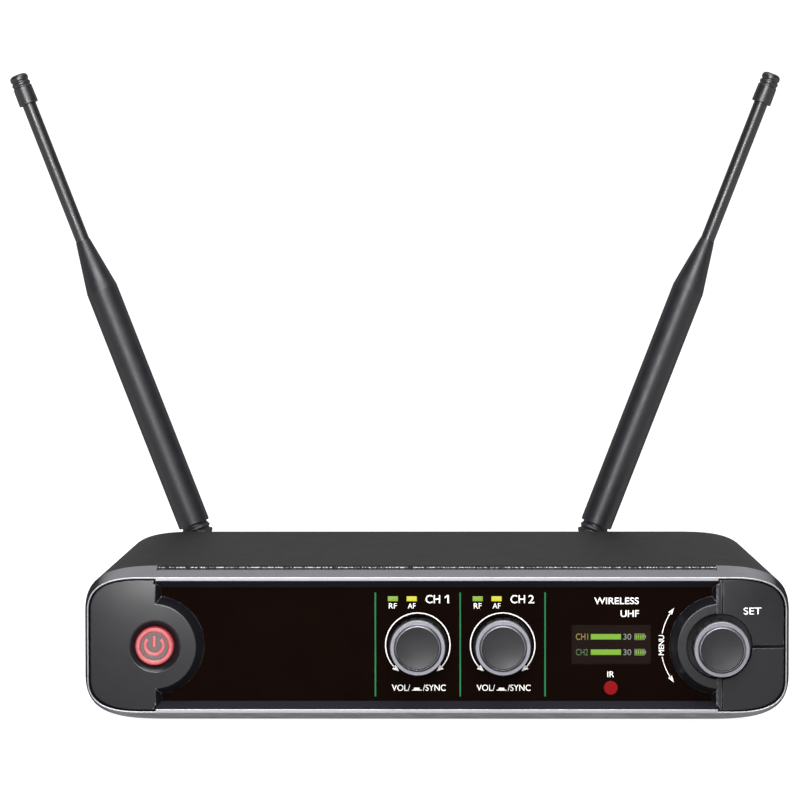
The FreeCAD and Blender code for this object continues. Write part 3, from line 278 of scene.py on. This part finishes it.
def cover_paint():
    """Satin powder coat. The sheet's front edge is dark, with a thin line of bare speckled metal."""
    made = finish("cover_paint", srgb(23, 23, 24), 0.65, 0.4, 0.008, specular=0.02, edge=srgb(32, 32, 33),
                  blotch=0.025, rough_spread=0.02)
    cut_edge = made.below("Y", COVER_LOW.y + CUT_EDGE)
    made.repaint(cut_edge, srgb(24, 24, 25))
    under_top, under_line = (made.below("Z", COVER_HIGH.z - drop) for drop in BARE_LINE)
    line = made.math("SUBTRACT", under_top, under_line)
    speckle = made.remap(made.noise(0.45, 4.0), 0.46, 0.62)
    share = made.math("MULTIPLY", made.math("MULTIPLY", cut_edge, line), speckle)
    made.repaint(share, srgb(150, 150, 148))
    return made


RIM_DEPTH = 0.12 * MM     # how far back the bezel's bright rim reaches
FACING_IN = -0.5 * MM     # a surface faces the middle when its normal, times the way out, is under this


def bezel_paint():
    """Metallic grey paint with painted shade on the sides and undersides, dark paint inside the opening that
    is partly painted shade in the gaps around the caps and keys, and a bright machined rim.
    """
    made = finish("bezel_paint", srgb(100, 100, 104), 0.42, 0.25, 0.003, metallic=0.7, specular=0.0,
                  edge=srgb(120, 120, 125), blotch=0.04, stretch=(6, 1, 1))
    normal_x, normal_z = made.normal_parts()
    # painted shade: faces turned sideways are darkened and lose their metal
    side = made.remap(made.math("ABSOLUTE", normal_x, 0.0), 0.12, 0.6)
    made.repaint(side, srgb(30, 30, 33))
    made.repaint(side, 0.0, "Metallic")
    # painted shade: faces turned downwards are darkened
    shaded_underside = made.remap(normal_z, -0.3, -0.9)
    made.repaint(shaded_underside, srgb(66, 66, 69))
    # dark paint on the slopes inside the opening, and painted shade on the walls of the gaps around the caps
    # and keys
    outwards = made.add("ShaderNodeVectorMath", operation="DOT_PRODUCT")
    made.link(made.normal_across(), outwards.inputs[0])
    made.link(made.away_from((0, 0, MID_Z)), outwards.inputs[1])
    inside = made.math("LESS_THAN", outwards.outputs["Value"], FACING_IN)
    made.repaint(inside, srgb(22, 22, 26))
    made.repaint(inside, 0.0, "Metallic")
    rim = made.below("Y", BEZEL_LOW.y + RIM_DEPTH)
    made.repaint(rim, srgb(110, 109, 113))
    made.repaint(rim, 1.0, "Metallic")
    made.repaint(rim, 0.42, "Roughness")
    return made


KNOB_REACH = 12 * MM      # more than a knob's radius
RING_LAP = 0.05 * MM      # how far the barrel's matt black painted shade reaches into the ring


def knob_plastic():
    """Fine-textured dark face, and a matt fluted barrel behind the trim ring, painted darker than the face as
    shade.
    """
    made = finish("knob_plastic", srgb(10, 10, 13), 0.4, 0.3, 0.012, specular=0.22, edge=srgb(40, 40, 43))
    for ring, first, last in (("volume_1_ring", *VOLUME), ("menu_ring", MENU, MENU)):
        left, right = first.x - KNOB_REACH, last.x + KNOB_REACH
        past_left = made.math("SUBTRACT", 1.0, made.below("X", left))
        near = made.math("MULTIPLY", made.below("X", right), past_left)
        barrel_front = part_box(ring)[1].y - RING_LAP
        barrel = made.math("SUBTRACT", 1.0, made.below("Y", barrel_front))
        share = made.math("MULTIPLY", near, barrel)
        # painted shade: the barrel behind the ring is darker than the face
        made.repaint(share, srgb(4, 4, 4))
        made.repaint(share, 0.9, "Roughness")
    return made


LENS_SHADE = 0.08         # tone of an unlit lens, as a share of its lit colour


def lit_lens(name, colour, deep, strength, edge_mm=0.35):
    """Lit plastic lens: brighter in the middle, deeper in colour towards its edges."""
    made = Surface(name, 0.3, specular=0.3)
    normal, mask = made.edges(edge_mm)
    haze = made.remap(made.noise(0.9, 4.0), 0.35, 0.7, 0.0, 0.4)
    tone = made.mix(made.math("MAXIMUM", mask, haze), colour, deep)
    clouds = made.remap(made.noise(1.2), *NOISE_RANGE)
    body = made.mix(clouds, scaled(colour, LENS_SHADE), scaled(deep, LENS_SHADE))
    made.link(body, made.shader.inputs["Base Color"])
    made.link(tone, made.shader.inputs["Emission Color"])
    made.shader.inputs["Emission Strength"].default_value = strength
    made.link(normal, made.shader.inputs["Normal"])
    return made


def spun_metal(name, colour, rough, point):
    """Satin metal with fine turning marks around an axis along Y through point, with painted shade on its
    underside.
    """
    made = Surface(name, rough, metallic=0.9)
    normal, mask = made.edges(0.12)
    marks = made.add("ShaderNodeTexNoise", noise_dimensions="1D")
    made.set(marks, Scale=1 / (0.12 * MM), Detail=3.0)
    made.link(made.distance(point), marks.inputs["W"])
    dull, bright = scaled(colour, 0.86), scaled(colour, 1.25)
    tone = made.mix(marks.outputs["Fac"], dull, colour)
    made.link(made.mix(mask, tone, bright), made.shader.inputs["Base Color"])
    gloss = made.remap(made.noise(2.5, 4.0), *NOISE_RANGE, rough - 0.05, rough + 0.06)
    made.link(gloss, made.shader.inputs["Roughness"])
    made.link(made.bump(marks.outputs["Fac"], 0.003, normal), made.shader.inputs["Normal"])
    # painted shade: faces turned downwards are darkened
    shaded_underside = made.remap(made.normal_parts()[1], -0.02, -0.3, 0.0, 0.97)
    made.repaint(shaded_underside, scaled(colour, 0.1))
    return made


LENS_RING_MIDDLE = 4.87 * MM      # radius of the middle of the button's lit ring
LENS_RING_INNER = 4.05 * MM       # radius inside which the lit symbol lies


def button_lens():
    """Lit red plastic: the outer ring deepens in colour towards both its edges."""
    made = lit_lens("button_red", srgb(246, 134, 138), srgb(176, 30, 42), 0.74, edge_mm=0.5)
    radius = made.distance(BUTTON)
    from_middle = made.math("ABSOLUTE", made.math("SUBTRACT", radius, LENS_RING_MIDDLE), 0.0)
    rim = made.remap(from_middle, 0.2 * MM, 0.75 * MM, 0.0, 0.9)
    share = made.math("MULTIPLY", rim, made.math("GREATER_THAN", radius, LENS_RING_INNER))
    made.repaint(share, srgb(170, 28, 40), "Emission Color")
    return made


BLACK = srgb(10, 10, 11)
MOULDED = srgb(11, 11, 14)
# light edge colour: partly rubbed wear, partly a painted highlight on rounded edges
RUBBED_AND_HIGHLIT_EDGE = srgb(138, 138, 143)
ANTENNA_EDGE = srgb(24, 24, 27)


def moulded_cap(name):
    """Fine-grained black moulding on the end caps and the quarter keys, with lightly rubbed edges whose light
    colour is a painted highlight along the rounded edges.
    """
    return finish(name, MOULDED, 0.29, 0.45, 0.007, specular=0.24, edge=RUBBED_AND_HIGHLIT_EDGE, edge_mm=0.3, blotch=0.02,
                  rough_spread=0.015)


def bare_metal(name, colour, rough, grain, depth, edge):
    return finish(name, colour, rough, grain, depth, metallic=1.0, edge=edge)


def antenna_black(name, colour, rough, depth, specular):
    return soften_grazing(finish(name, colour, rough, 0.3, depth, specular=specular, edge=ANTENNA_EDGE))


SURFACES = {
    "cover": cover_paint(),
    "bezel": bezel_paint(),
    "zinc": bare_metal("zinc_steel", srgb(176, 178, 180), 0.36, 0.6, 0.004, srgb(220, 220, 220)),
    "plate": finish("black_plate", srgb(12, 12, 13), 0.6, 0.5, 0.006, specular=0.2, edge=srgb(30, 30, 31)),
    "screws": finish("black_screws", srgb(40, 40, 42), 0.38, 0.2, 0.004, metallic=0.7,
                     edge=srgb(120, 120, 120)),
    "fascia": finish("fascia_gloss", srgb(6, 2, 1), 0.08, 3.0, 0.0004, specular=0.01, edge=srgb(24, 22, 22),
                     rough_spread=0.02),
    "cap": moulded_cap("cap_plastic"),
    "key": moulded_cap("key_plastic"),
    "ir": finish("ir_lens", srgb(90, 6, 9), 0.25, 1.0, 0.001, specular=0.03, edge=srgb(50, 4, 6)),
    "display": finish("display_glass", srgb(16, 10, 8), 0.12, 2.0, 0.0004, specular=0.01,
                      rough_spread=0.02),
    "rf": lit_lens("rf_lens_green", srgb(142, 188, 16), srgb(110, 152, 12), 0.72),
    "af": lit_lens("af_lens_yellow", srgb(224, 224, 2), srgb(196, 194, 2), 0.78),
    "button_red": button_lens(),
    "button_grey": finish("button_grey", srgb(42, 30, 30), 0.4, 0.3, 0.006, edge=srgb(120, 40, 44)),
    "board": finish("circuit_board", srgb(24, 84, 44), 0.4, 1.2, 0.01, edge=srgb(150, 140, 90)),
    "parts": finish("board_parts", srgb(48, 48, 50), 0.5, 0.5, 0.01, edge=RUBBED_AND_HIGHLIT_EDGE),
    "capacitor": finish("capacitor_sleeve", srgb(30, 34, 52), 0.3, 0.6, 0.004, edge=srgb(160, 160, 165)),
    "socket": finish("socket_plastic", BLACK, 0.45, 0.3, 0.008, edge=srgb(60, 60, 62)),
    "contact": bare_metal("contact_metal", srgb(205, 200, 188), 0.2, 0.4, 0.002, srgb(235, 235, 230)),
    "insulator": finish("white_insulator", srgb(200, 198, 190), 0.4, 0.5, 0.004, edge=srgb(225, 225, 220)),
    "coax": finish("coax_jacket", BLACK, 0.5, 0.4, 0.006),
    "knob": knob_plastic(),
    "shaft": bare_metal("shaft_steel", srgb(170, 170, 172), 0.3, 0.5, 0.003, srgb(215, 215, 215)),
    "rotor": finish("rotor_plastic", srgb(80, 76, 66), 0.5, 0.4, 0.006),
    "rubber": finish("foot_rubber", srgb(16, 16, 16), 0.8, 0.4, 0.03, specular=0.3),
    "nickel": finish("nut_nickel", srgb(112, 112, 116), 0.3, 0.3, 0.004, metallic=0.9,
                     edge=srgb(180, 180, 184)),
    "antenna": antenna_black("antenna_plastic", srgb(12, 12, 16), 0.42, 0.03, 0.3),
    "whip": antenna_black("whip_rubber", srgb(12, 12, 15), 0.34, 0.02, 0.42),
    "ink": finish("white_ink", srgb(190, 189, 187), 0.5, 0.2, 0.001, specular=0.1, blotch=0.03),
    "green_ink": finish("green_ink", srgb(16, 74, 44), 0.5, 0.2, 0.001, specular=0.05),
    "lit_yellow": lit_lens("display_yellow", srgb(160, 140, 48), srgb(140, 122, 40), 0.7),
    "lit_green": lit_lens("display_green", srgb(123, 178, 6), srgb(106, 160, 6), 0.8),
    "lit_dim_green": lit_lens("display_dim_green", srgb(72, 112, 56), srgb(62, 98, 48), 0.8),
    "lit_grey": lit_lens("display_grey", srgb(160, 164, 156), srgb(140, 144, 136), 0.6),
}

for name, point in zip(("volume_1", "volume_2", "menu"), (*VOLUME, MENU)):
    SURFACES[f"{name}_ring"] = spun_metal(f"{name}_ring_metal", srgb(98, 97, 103), 0.38, point)

LOOKS = {
    "cover": ["top_cover", "bottom_chassis", "rear_panel"],
    "bezel": ["front_bezel"],
    "plate": ["front_subpanel"],
    "zinc": ["tuner_shield_cans", "nuts", "inner_screws", "antenna_sockets"],
    "screws": ["case_screws"],
    "fascia": ["fascia_window"],
    "cap": ["power_end_cap", "menu_end_cap"],
    "key": ["set_key", "lower_key"],
    "ir": ["ir_window"],
    "display": ["display_module"],
    "rf": ["rf_led_lenses"],
    "af": ["af_led_lenses"],
    "button_red": ["power_button_lens"],
    "button_grey": ["power_button_cap"],
    "board": ["front_board", "main_board", "connector_board"],
    "parts": ["board_chips", "key_switches", "encoder_bodies", "ribbon_cable"],
    "capacitor": ["board_capacitors"],
    "socket": ["xlr_sockets", "mix_jack", "dc_jack"],
    "contact": ["connector_pins"],
    "insulator": ["antenna_insulators"],
    "coax": ["antenna_coax"],
    "knob": ["volume_1_knob", "volume_2_knob", "menu_knob"],
    "volume_1_ring": ["volume_1_ring"],
    "volume_2_ring": ["volume_2_ring"],
    "menu_ring": ["menu_ring"],
    "shaft": ["volume_1_shaft", "volume_2_shaft", "menu_shaft", "left_elbow_pin", "right_elbow_pin"],
    "rotor": ["volume_1_rotor", "volume_2_rotor"],
    "rubber": ["feet"],
    "nickel": ["antenna_plug_nuts"],
    "antenna": [f"{side}_{part}" for side in ("left", "right") for part in ("knuckle", "collar", "sleeve")],
    "whip": [f"{side}_{part}" for side in ("left", "right") for part in ("whip", "tip_cap")],
}
for look, nodes in LOOKS.items():
    for node in nodes:
        mesh = NODES[node].data
        mesh.materials.clear()
        mesh.materials.append(SURFACES[look].material)


# ---------------------------------------------------------------- printed and lit legends
class Print:
    """Thin raised shapes facing the front, gathered into one piece."""

    def __init__(self, surface_y):
        self.mesh = bmesh.new()
        self.front = surface_y - INK
        self.back = surface_y + INK / 3

    def prism(self, points):
        """Prism from a counter-clockwise outline of (x, z) points, in metres."""
        front = [self.mesh.verts.new((x, self.front, z)) for x, z in points]
        back = [self.mesh.verts.new((x, self.back, z)) for x, z in points]
        self.mesh.faces.new(front)
        self.mesh.faces.new(back[::-1])
        for i in range(len(points)):
            j = (i + 1) % len(points)
            self.mesh.faces.new((front[i], back[i], back[j], front[j]))

    def bar(self, x, z, width, height):
        """Rectangle centred on (x, z)."""
        w, h = width / 2, height / 2
        self.prism([(x - w, z - h), (x + w, z - h), (x + w, z + h), (x - w, z + h)])

    def arc(self, x, z, radius, width, start, end, steps=72):
        """Ring sector from start to end degrees, counted from +X towards +Z."""
        for i in range(steps):
            a, b = (math.radians(start + (end - start) * (i + k) / steps) for k in (0, 1))
            points = [(x + r * math.cos(t), z + r * math.sin(t))
                      for r, t in ((radius - width / 2, a), (radius + width / 2, a),
                                   (radius + width / 2, b), (radius - width / 2, b))]
            self.prism(points)

    def arrow(self, x, z, radius, tip, turn, length, width):
        """Arrowhead on a circle: its tip at tip degrees, pointing the way of turn, +1 or -1."""
        at = math.radians(tip)
        tip_point = Vector((x + radius * math.cos(at), z + radius * math.sin(at)))
        base_at = at - turn * length / radius
        base = Vector((x + radius * math.cos(base_at), z + radius * math.sin(base_at)))
        along = (tip_point - base).normalized()
        half_base = Vector((-along.y, along.x)) * width / 2
        self.prism([tuple(tip_point), tuple(base + half_base), tuple(base - half_base)])

    def figure_one(self, x, z, height):
        """The figure 1 with a slanting flag; x is its left end."""
        stem, flag = 0.2 * height, 0.34 * height
        top, stem_left = z + height / 2, x + flag
        self.bar(stem_left + stem / 2, z, stem, height)
        drop, thick = 0.22 * height, 0.2 * height
        self.prism([(x, top - drop - thick), (stem_left, top - thick), (stem_left, top), (x, top - drop)])

    def text(self, words, x, z, height, width, weight=0.0, align="CENTER", turned=0.0):
        """Words whose capitals are height tall, centred on z and fitted to width."""
        curve = bpy.data.curves.new("words", "FONT")
        curve.body = words
        curve.size = 1.0
        curve.offset = weight
        curve.extrude = 0.5
        holder = bpy.data.objects.new("words", curve)
        bpy.context.scene.collection.objects.link(holder)
        bpy.context.view_layer.update()
        flat = bpy.data.meshes.new_from_object(holder.evaluated_get(bpy.context.evaluated_depsgraph_get()))
        bpy.data.objects.remove(holder)
        xs = [v.co.x for v in flat.vertices]
        ys = [v.co.y for v in flat.vertices]
        tall = height / (max(ys) - min(ys))
        wide = width / (max(xs) - min(xs))
        anchor = {"CENTER": (min(xs) + max(xs)) / 2, "LEFT": min(xs), "RIGHT": max(xs)}[align]
        middle = (min(ys) + max(ys)) / 2
        spin = Matrix.Rotation(math.radians(turned), 2)
        half = (self.back - self.front) / 2
        for vertex in flat.vertices:
            right, up = spin @ Vector(((vertex.co.x - anchor) * wide, (vertex.co.y - middle) * tall))
            depth = self.front + half - math.copysign(half, vertex.co.z)
            vertex.co = (x + right, depth, z + up)
        self.mesh.from_mesh(flat)
        bpy.data.meshes.remove(flat)

    def drape(self, node):
        """Moves the shapes, made at Y = 0, onto the front of a CAD node."""
        for vertex in self.mesh.verts:
            start = Vector((vertex.co.x, -1.0, vertex.co.z))
            hit, place, _, _ = NODES[node].ray_cast(start, Vector((0, 1, 0)))
            if hit:
                vertex.co.y += place.y

    def make(self, name, surface, body, slot):
        """Turns the shapes into a piece that moves with a body."""
        bmesh.ops.recalc_face_normals(self.mesh, faces=self.mesh.faces)
        mesh = bpy.data.meshes.new(name)
        self.mesh.to_mesh(mesh)
        self.mesh.free()
        mesh.materials.append(SURFACES[surface].material)
        piece = bpy.data.objects.new(name, mesh)
        bpy.context.scene.collection.objects.link(piece)
        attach(piece, body)


BOLD = 0.008              # how much the bold words' strokes are thickened, as a share of the font's size

CHANNEL_TEXT_Z = MID_Z + 13.4 * MM
CHANNEL_TEXT_H = 2.45 * MM
CH_LEFT, NUMBER_RIGHT = 2.35 * MM, 9.35 * MM         # right of the knob's axis
CH_W, NUMBER_W, ONE_W = 4.3 * MM, 1.75 * MM, 1.4 * MM

VOLUME_TEXT_Z = MID_Z - 13.0 * MM
VOLUME_TEXT_H = 1.85 * MM
# words, offset from the knob's axis, width
VOLUME_WORDS = (("VOL/", -5.0 * MM, 5.4 * MM), ("/SYNC", 4.9 * MM, 6.8 * MM))
PUSH_SIGN_X = -0.35 * MM
# offset from the middle of the words, width, height
PUSH_SIGN_BARS = ((-0.72 * MM, 2.9 * MM, 0.28 * MM), (-0.28 * MM, 1.7 * MM, 0.62 * MM))

LED_TEXT_Z = MID_Z + 11.4 * MM
LED_TEXT_H, LED_TEXT_W = 1.6 * MM, 2.35 * MM

ARC_R, ARC_W = 9.58 * MM, 0.34 * MM
ARC_END = 54.3            # degrees below the horizontal where the volume arcs end
ARROW_L, ARROW_W = 2.0 * MM, 1.7 * MM
ARROW_LAP = 0.8           # share of an arrowhead's length where its arc stops


def led_places(node):
    """X of each lens in a node of two lenses."""
    low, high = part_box(node)
    width = (high.x - low.x - PITCH) / 2
    return low.x + width, high.x - width


def channel_name(ink, number, knob_x):
    ink.text("CH", knob_x + CH_LEFT, CHANNEL_TEXT_Z, CHANNEL_TEXT_H, CH_W, weight=BOLD, align="LEFT")
    right = knob_x + NUMBER_RIGHT
    if number == 1:
        ink.figure_one(right - ONE_W, CHANNEL_TEXT_Z, CHANNEL_TEXT_H)
    else:
        ink.text(str(number), right, CHANNEL_TEXT_Z, CHANNEL_TEXT_H, NUMBER_W, weight=BOLD, align="RIGHT")


def volume_arc(ink, knob):
    """Arc over a volume knob with an arrowhead at both ends."""
    tip = 180 + ARC_END
    line_end = tip - math.degrees(ARROW_LAP * ARROW_L / ARC_R)
    ink.arc(knob.x, knob.z, ARC_R, ARC_W, 180 - line_end, line_end)
    ink.arrow(knob.x, knob.z, ARC_R, tip, 1, ARROW_L, ARROW_W)
    ink.arrow(knob.x, knob.z, ARC_R, 180 - tip, -1, ARROW_L, ARROW_W)


def volume_words(ink, knob_x):
    """The words under a volume knob, with the sign for a push button between them."""
    for words, offset, width in VOLUME_WORDS:
        ink.text(words, knob_x + offset, VOLUME_TEXT_Z, VOLUME_TEXT_H, width)
    for up, width, height in PUSH_SIGN_BARS:
        ink.bar(knob_x + PUSH_SIGN_X, VOLUME_TEXT_Z + up, width, height)


def channel_legends(ink):
    for number, knob in enumerate(VOLUME, 1):
        channel_name(ink, number, knob.x)
        volume_arc(ink, knob)
        volume_words(ink, knob.x)
    for node, words in (("rf_led_lenses", "RF"), ("af_led_lenses", "AF")):
        for x in led_places(node):
            ink.text(words, x, LED_TEXT_Z, LED_TEXT_H, LED_TEXT_W)


MENU_ARC_R, MENU_ARC_W = 17.9 * MM, 0.28 * MM
MENU_ARC_X = 84.5 * MM
MENU_TIP = 38.2           # degrees above and below the horizontal
MENU_GAP = 3.5 * MM       # from the middle of the word to the ends of the arc beside it
MENU_ARROW_W = 1.35 * MM
MENU_TEXT_X = MENU_ARC_X - MENU_ARC_R + 0.1 * MM
MENU_TEXT_H, MENU_TEXT_W = 1.6 * MM, 5.94 * MM


def menu_legends(ink):
    """The word beside the menu knob, read upwards, in the gap of a two-headed arc."""
    z = MENU.z
    start = math.degrees(math.asin(MENU_GAP / MENU_ARC_R))
    line_end = MENU_TIP - math.degrees(ARROW_LAP * ARROW_L / MENU_ARC_R)
    for side in (-1, 1):
        ink.arc(MENU_ARC_X, z, MENU_ARC_R, MENU_ARC_W, 180 + side * start, 180 + side * line_end, 30)
        ink.arrow(MENU_ARC_X, z, MENU_ARC_R, 180 + side * MENU_TIP, side, ARROW_L, MENU_ARROW_W)
    ink.text("MENU", MENU_TEXT_X, z, MENU_TEXT_H, MENU_TEXT_W, turned=90)


IR_TEXT_Z = MID_Z - 8.95 * MM
IR_TEXT_H, IR_TEXT_W = 1.7 * MM, 2.0 * MM
TITLE_RIGHT = IR_X + 8.3 * MM
TITLE_H = 2.0 * MM
# words, z, width
TITLES = (("WIRELESS", MID_Z + 12.9 * MM, 13.2 * MM), ("UHF", MID_Z + 9.1 * MM, 5.4 * MM))
DIVIDER_Z = MID_Z - 0.1 * MM
DIVIDER_W, DIVIDER_H = 0.5 * MM, 31.0 * MM


def fascia_legends():
    ink = Print(FASCIA_Y)
    channel_legends(ink)
    menu_legends(ink)
    ink.text("IR", IR_X, IR_TEXT_Z, IR_TEXT_H, IR_TEXT_W)
    for words, z, width in TITLES:
        ink.text(words, TITLE_RIGHT, z, TITLE_H, width, weight=BOLD, align="RIGHT")
    ink.make("fascia_legends", "ink", "root", "fascia_gloss")

    lines = Print(FASCIA_Y)
    for x in (VOLUME[0].x - PITCH / 2, VOLUME[0].x + PITCH / 2, VOLUME[1].x + PITCH / 2):
        lines.bar(x, DIVIDER_Z, DIVIDER_W, DIVIDER_H)
    lines.make("channel_dividers", "green_ink", "root", "fascia_gloss")


SET_TEXT_X, SET_TEXT_Z = 93.45 * MM, MID_Z + 10.15 * MM
SET_TEXT_H, SET_TEXT_W = 2.05 * MM, 5.3 * MM


def set_legend():
    """The word on the upper key, following its crowned face."""
    ink = Print(0.0)
    ink.text("SET", SET_TEXT_X, SET_TEXT_Z, SET_TEXT_H, SET_TEXT_W)
    ink.drape("set_key")
    ink.make("set_legend", "ink", "set_key", "key_plastic")


ROW_DROP = 2.3 * MM                                  # from the display's middle to each row
CHANNEL_X, CHANNEL_W, CHANNEL_H = DISPLAY_X - 8.65 * MM, 3.6 * MM, 1.9 * MM
LEVEL_X, LEVEL_W, LEVEL_H = DISPLAY_X - 1.55 * MM, 9.0 * MM, 1.65 * MM
VALUE_X, VALUE_W, VALUE_H = DISPLAY_X + 4.8 * MM, 2.35 * MM, 1.75 * MM
BATTERY_X, BATTERY_W, BATTERY_H, BATTERY_WALL = DISPLAY_X + 8.45 * MM, 3.1 * MM, 1.9 * MM, 0.16 * MM
TERMINAL_GAP, TERMINAL_W, TERMINAL_H = 0.18 * MM, 0.3 * MM, 0.9 * MM
CELLS, CELL_PITCH, CELL_W, CELL_H = 4, 0.68 * MM, 0.52 * MM, 1.35 * MM


def battery(outline, cells, z):
    """Battery sign: a frame with a terminal on its right, and the cells in it."""
    for side in (-1, 1):
        outline.bar(BATTERY_X, z + side * (BATTERY_H - BATTERY_WALL) / 2, BATTERY_W, BATTERY_WALL)
        outline.bar(BATTERY_X + side * (BATTERY_W - BATTERY_WALL) / 2, z, BATTERY_WALL, BATTERY_H)
    outline.bar(BATTERY_X + BATTERY_W / 2 + TERMINAL_GAP, z, TERMINAL_W, TERMINAL_H)
    for i in range(CELLS):
        cells.bar(BATTERY_X + (i - (CELLS - 1) / 2) * CELL_PITCH, z, CELL_W, CELL_H)


def display_legends():
    """Two rows on the display: channel, level bar, number and battery."""
    rows = [(DISPLAY_Z + ROW_DROP, "CH1", "lit_yellow"), (DISPLAY_Z - ROW_DROP, "CH2", "lit_dim_green")]
    bars, numbers = Print(FASCIA_Y), Print(FASCIA_Y)
    for z, words, look in rows:
        channel = Print(FASCIA_Y)
        channel.text(words, CHANNEL_X, z, CHANNEL_H, CHANNEL_W)
        channel.make(f"display_{words.lower()}", look, "root", "display_glass")
        bars.bar(LEVEL_X, z, LEVEL_W, LEVEL_H)
        numbers.text("30", VALUE_X, z, VALUE_H, VALUE_W)
        battery(numbers, bars, z)
    bars.make("display_bars", "lit_green", "root", "display_glass")
    numbers.make("display_numbers", "lit_grey", "root", "display_glass")


fascia_legends()
set_legend()
display_legends()


# ---------------------------------------------------------------- stage, light and camera
FLOOR_HALF = 4.0          # half the width of the floor, and the height of the backdrop, in metres
FLOOR_BACK = 3.0          # where the backdrop stands
FLOOR_BEND = 1.2          # radius of the curve between them
BEND_STEPS = 24
FLOOR_GLOW = 4.8          # the paper lights up to white, and reflects little of the lamps
PAPER_DARK, PAPER_LIGHT = (0.2, 0.2, 0.2, 1), (0.21, 0.21, 0.21, 1)
PAPER_CLOUD_MM = 400.0


def floor_paper():
    made = Surface("floor_paper", 0.75, specular=0.1)
    clouds = made.remap(made.noise(PAPER_CLOUD_MM), *NOISE_RANGE)
    tone = made.mix(clouds, PAPER_DARK, PAPER_LIGHT)
    made.link(tone, made.shader.inputs["Base Color"])
    made.link(tone, made.shader.inputs["Emission Color"])
    made.shader.inputs["Emission Strength"].default_value = FLOOR_GLOW
    return made.material


def floor():
    """Pale floor that curves up into a backdrop far behind."""
    flat_end = FLOOR_BACK - FLOOR_BEND
    profile = [(-FLOOR_HALF, 0.0), (flat_end, 0.0)]
    for i in range(BEND_STEPS):
        angle = math.pi / 2 * (i + 1) / BEND_STEPS
        profile.append((flat_end + FLOOR_BEND * math.sin(angle), FLOOR_BEND - FLOOR_BEND * math.cos(angle)))
    profile.append((FLOOR_BACK, FLOOR_HALF))
    mesh = bpy.data.meshes.new("floor")
    points = [(x, y, z) for x in (-FLOOR_HALF, FLOOR_HALF) for y, z in profile]
    count = len(profile)
    faces = [(i, count + i, count + i + 1, i + 1) for i in range(count - 1)]
    mesh.from_pydata(points, [], faces)
    mesh.polygons.foreach_set("use_smooth", [True] * len(faces))
    mesh.materials.append(floor_paper())
    stage = bpy.data.objects.new("floor", mesh)
    bpy.context.scene.collection.objects.link(stage)


def softbox(name, place, aim, size, power):
    """Rectangular lamp at place, turned towards aim; metres and watts."""
    light = bpy.data.lights.new(name, "AREA")
    light.shape = "RECTANGLE"
    light.size, light.size_y = size
    light.energy = power
    lamp = bpy.data.objects.new(name, light)
    lamp.location = place
    lamp.rotation_euler = (Vector(aim) - Vector(place)).to_track_quat("-Z", "Y").to_euler()
    bpy.context.scene.collection.objects.link(lamp)


def world(strength):
    studio = bpy.data.worlds.new("studio")
    studio.use_nodes = True
    background = studio.node_tree.nodes["Background"]
    background.inputs["Color"].default_value = (1, 1, 1, 1)
    background.inputs["Strength"].default_value = strength
    bpy.context.scene.world = studio


CAMERA_AT = Vector((1.46, -1131.9, 135.3)) * MM
CAMERA_TURN, CAMERA_TILT, CAMERA_ROLL = 0.663, 87.957, -0.061      # degrees
LENS_MM, SENSOR_MM = 161.1, 36.0


def camera():
    """Long lens a little above the case, aimed between the case and the antennas' tips."""
    lens = bpy.data.cameras.new("camera")
    lens.lens = LENS_MM
    lens.sensor_width = SENSOR_MM
    lens.clip_end = 20.0
    view = bpy.data.objects.new("camera", lens)
    aim = Matrix.Rotation(math.radians(CAMERA_TURN), 4, "Z")
    aim = aim @ Matrix.Rotation(math.radians(CAMERA_TILT), 4, "X")
    aim = aim @ Matrix.Rotation(math.radians(CAMERA_ROLL), 4, "Z")
    view.matrix_world = Matrix.Translation(CAMERA_AT) @ aim
    bpy.context.scene.collection.objects.link(view)
    bpy.context.scene.camera = view


WORLD_STRENGTH = 0.25
LAMPS = (                 # name, place, aim, size, power
    ("overhead", (0.0, -0.35, 1.25), (0, 0, 0.08), (1.2, 0.6), 16),
    ("key", (0.1, -1.2, 0.9), (0, 0, 0.05), (0.8, 0.6), 38),
    ("low_front", (-0.15, -1.3, 0.33), (0, 0, 0.03), (0.45, 0.1), 17),
    ("low_left", (-0.25, -1.0, 0.22), (0.09, -0.07, 0.05), (0.12, 0.1), 1.5),
)

floor()
world(WORLD_STRENGTH)
for lamp in LAMPS:
    softbox(*lamp)
camera()
bpy.context.scene.view_settings.view_transform = "Standard"
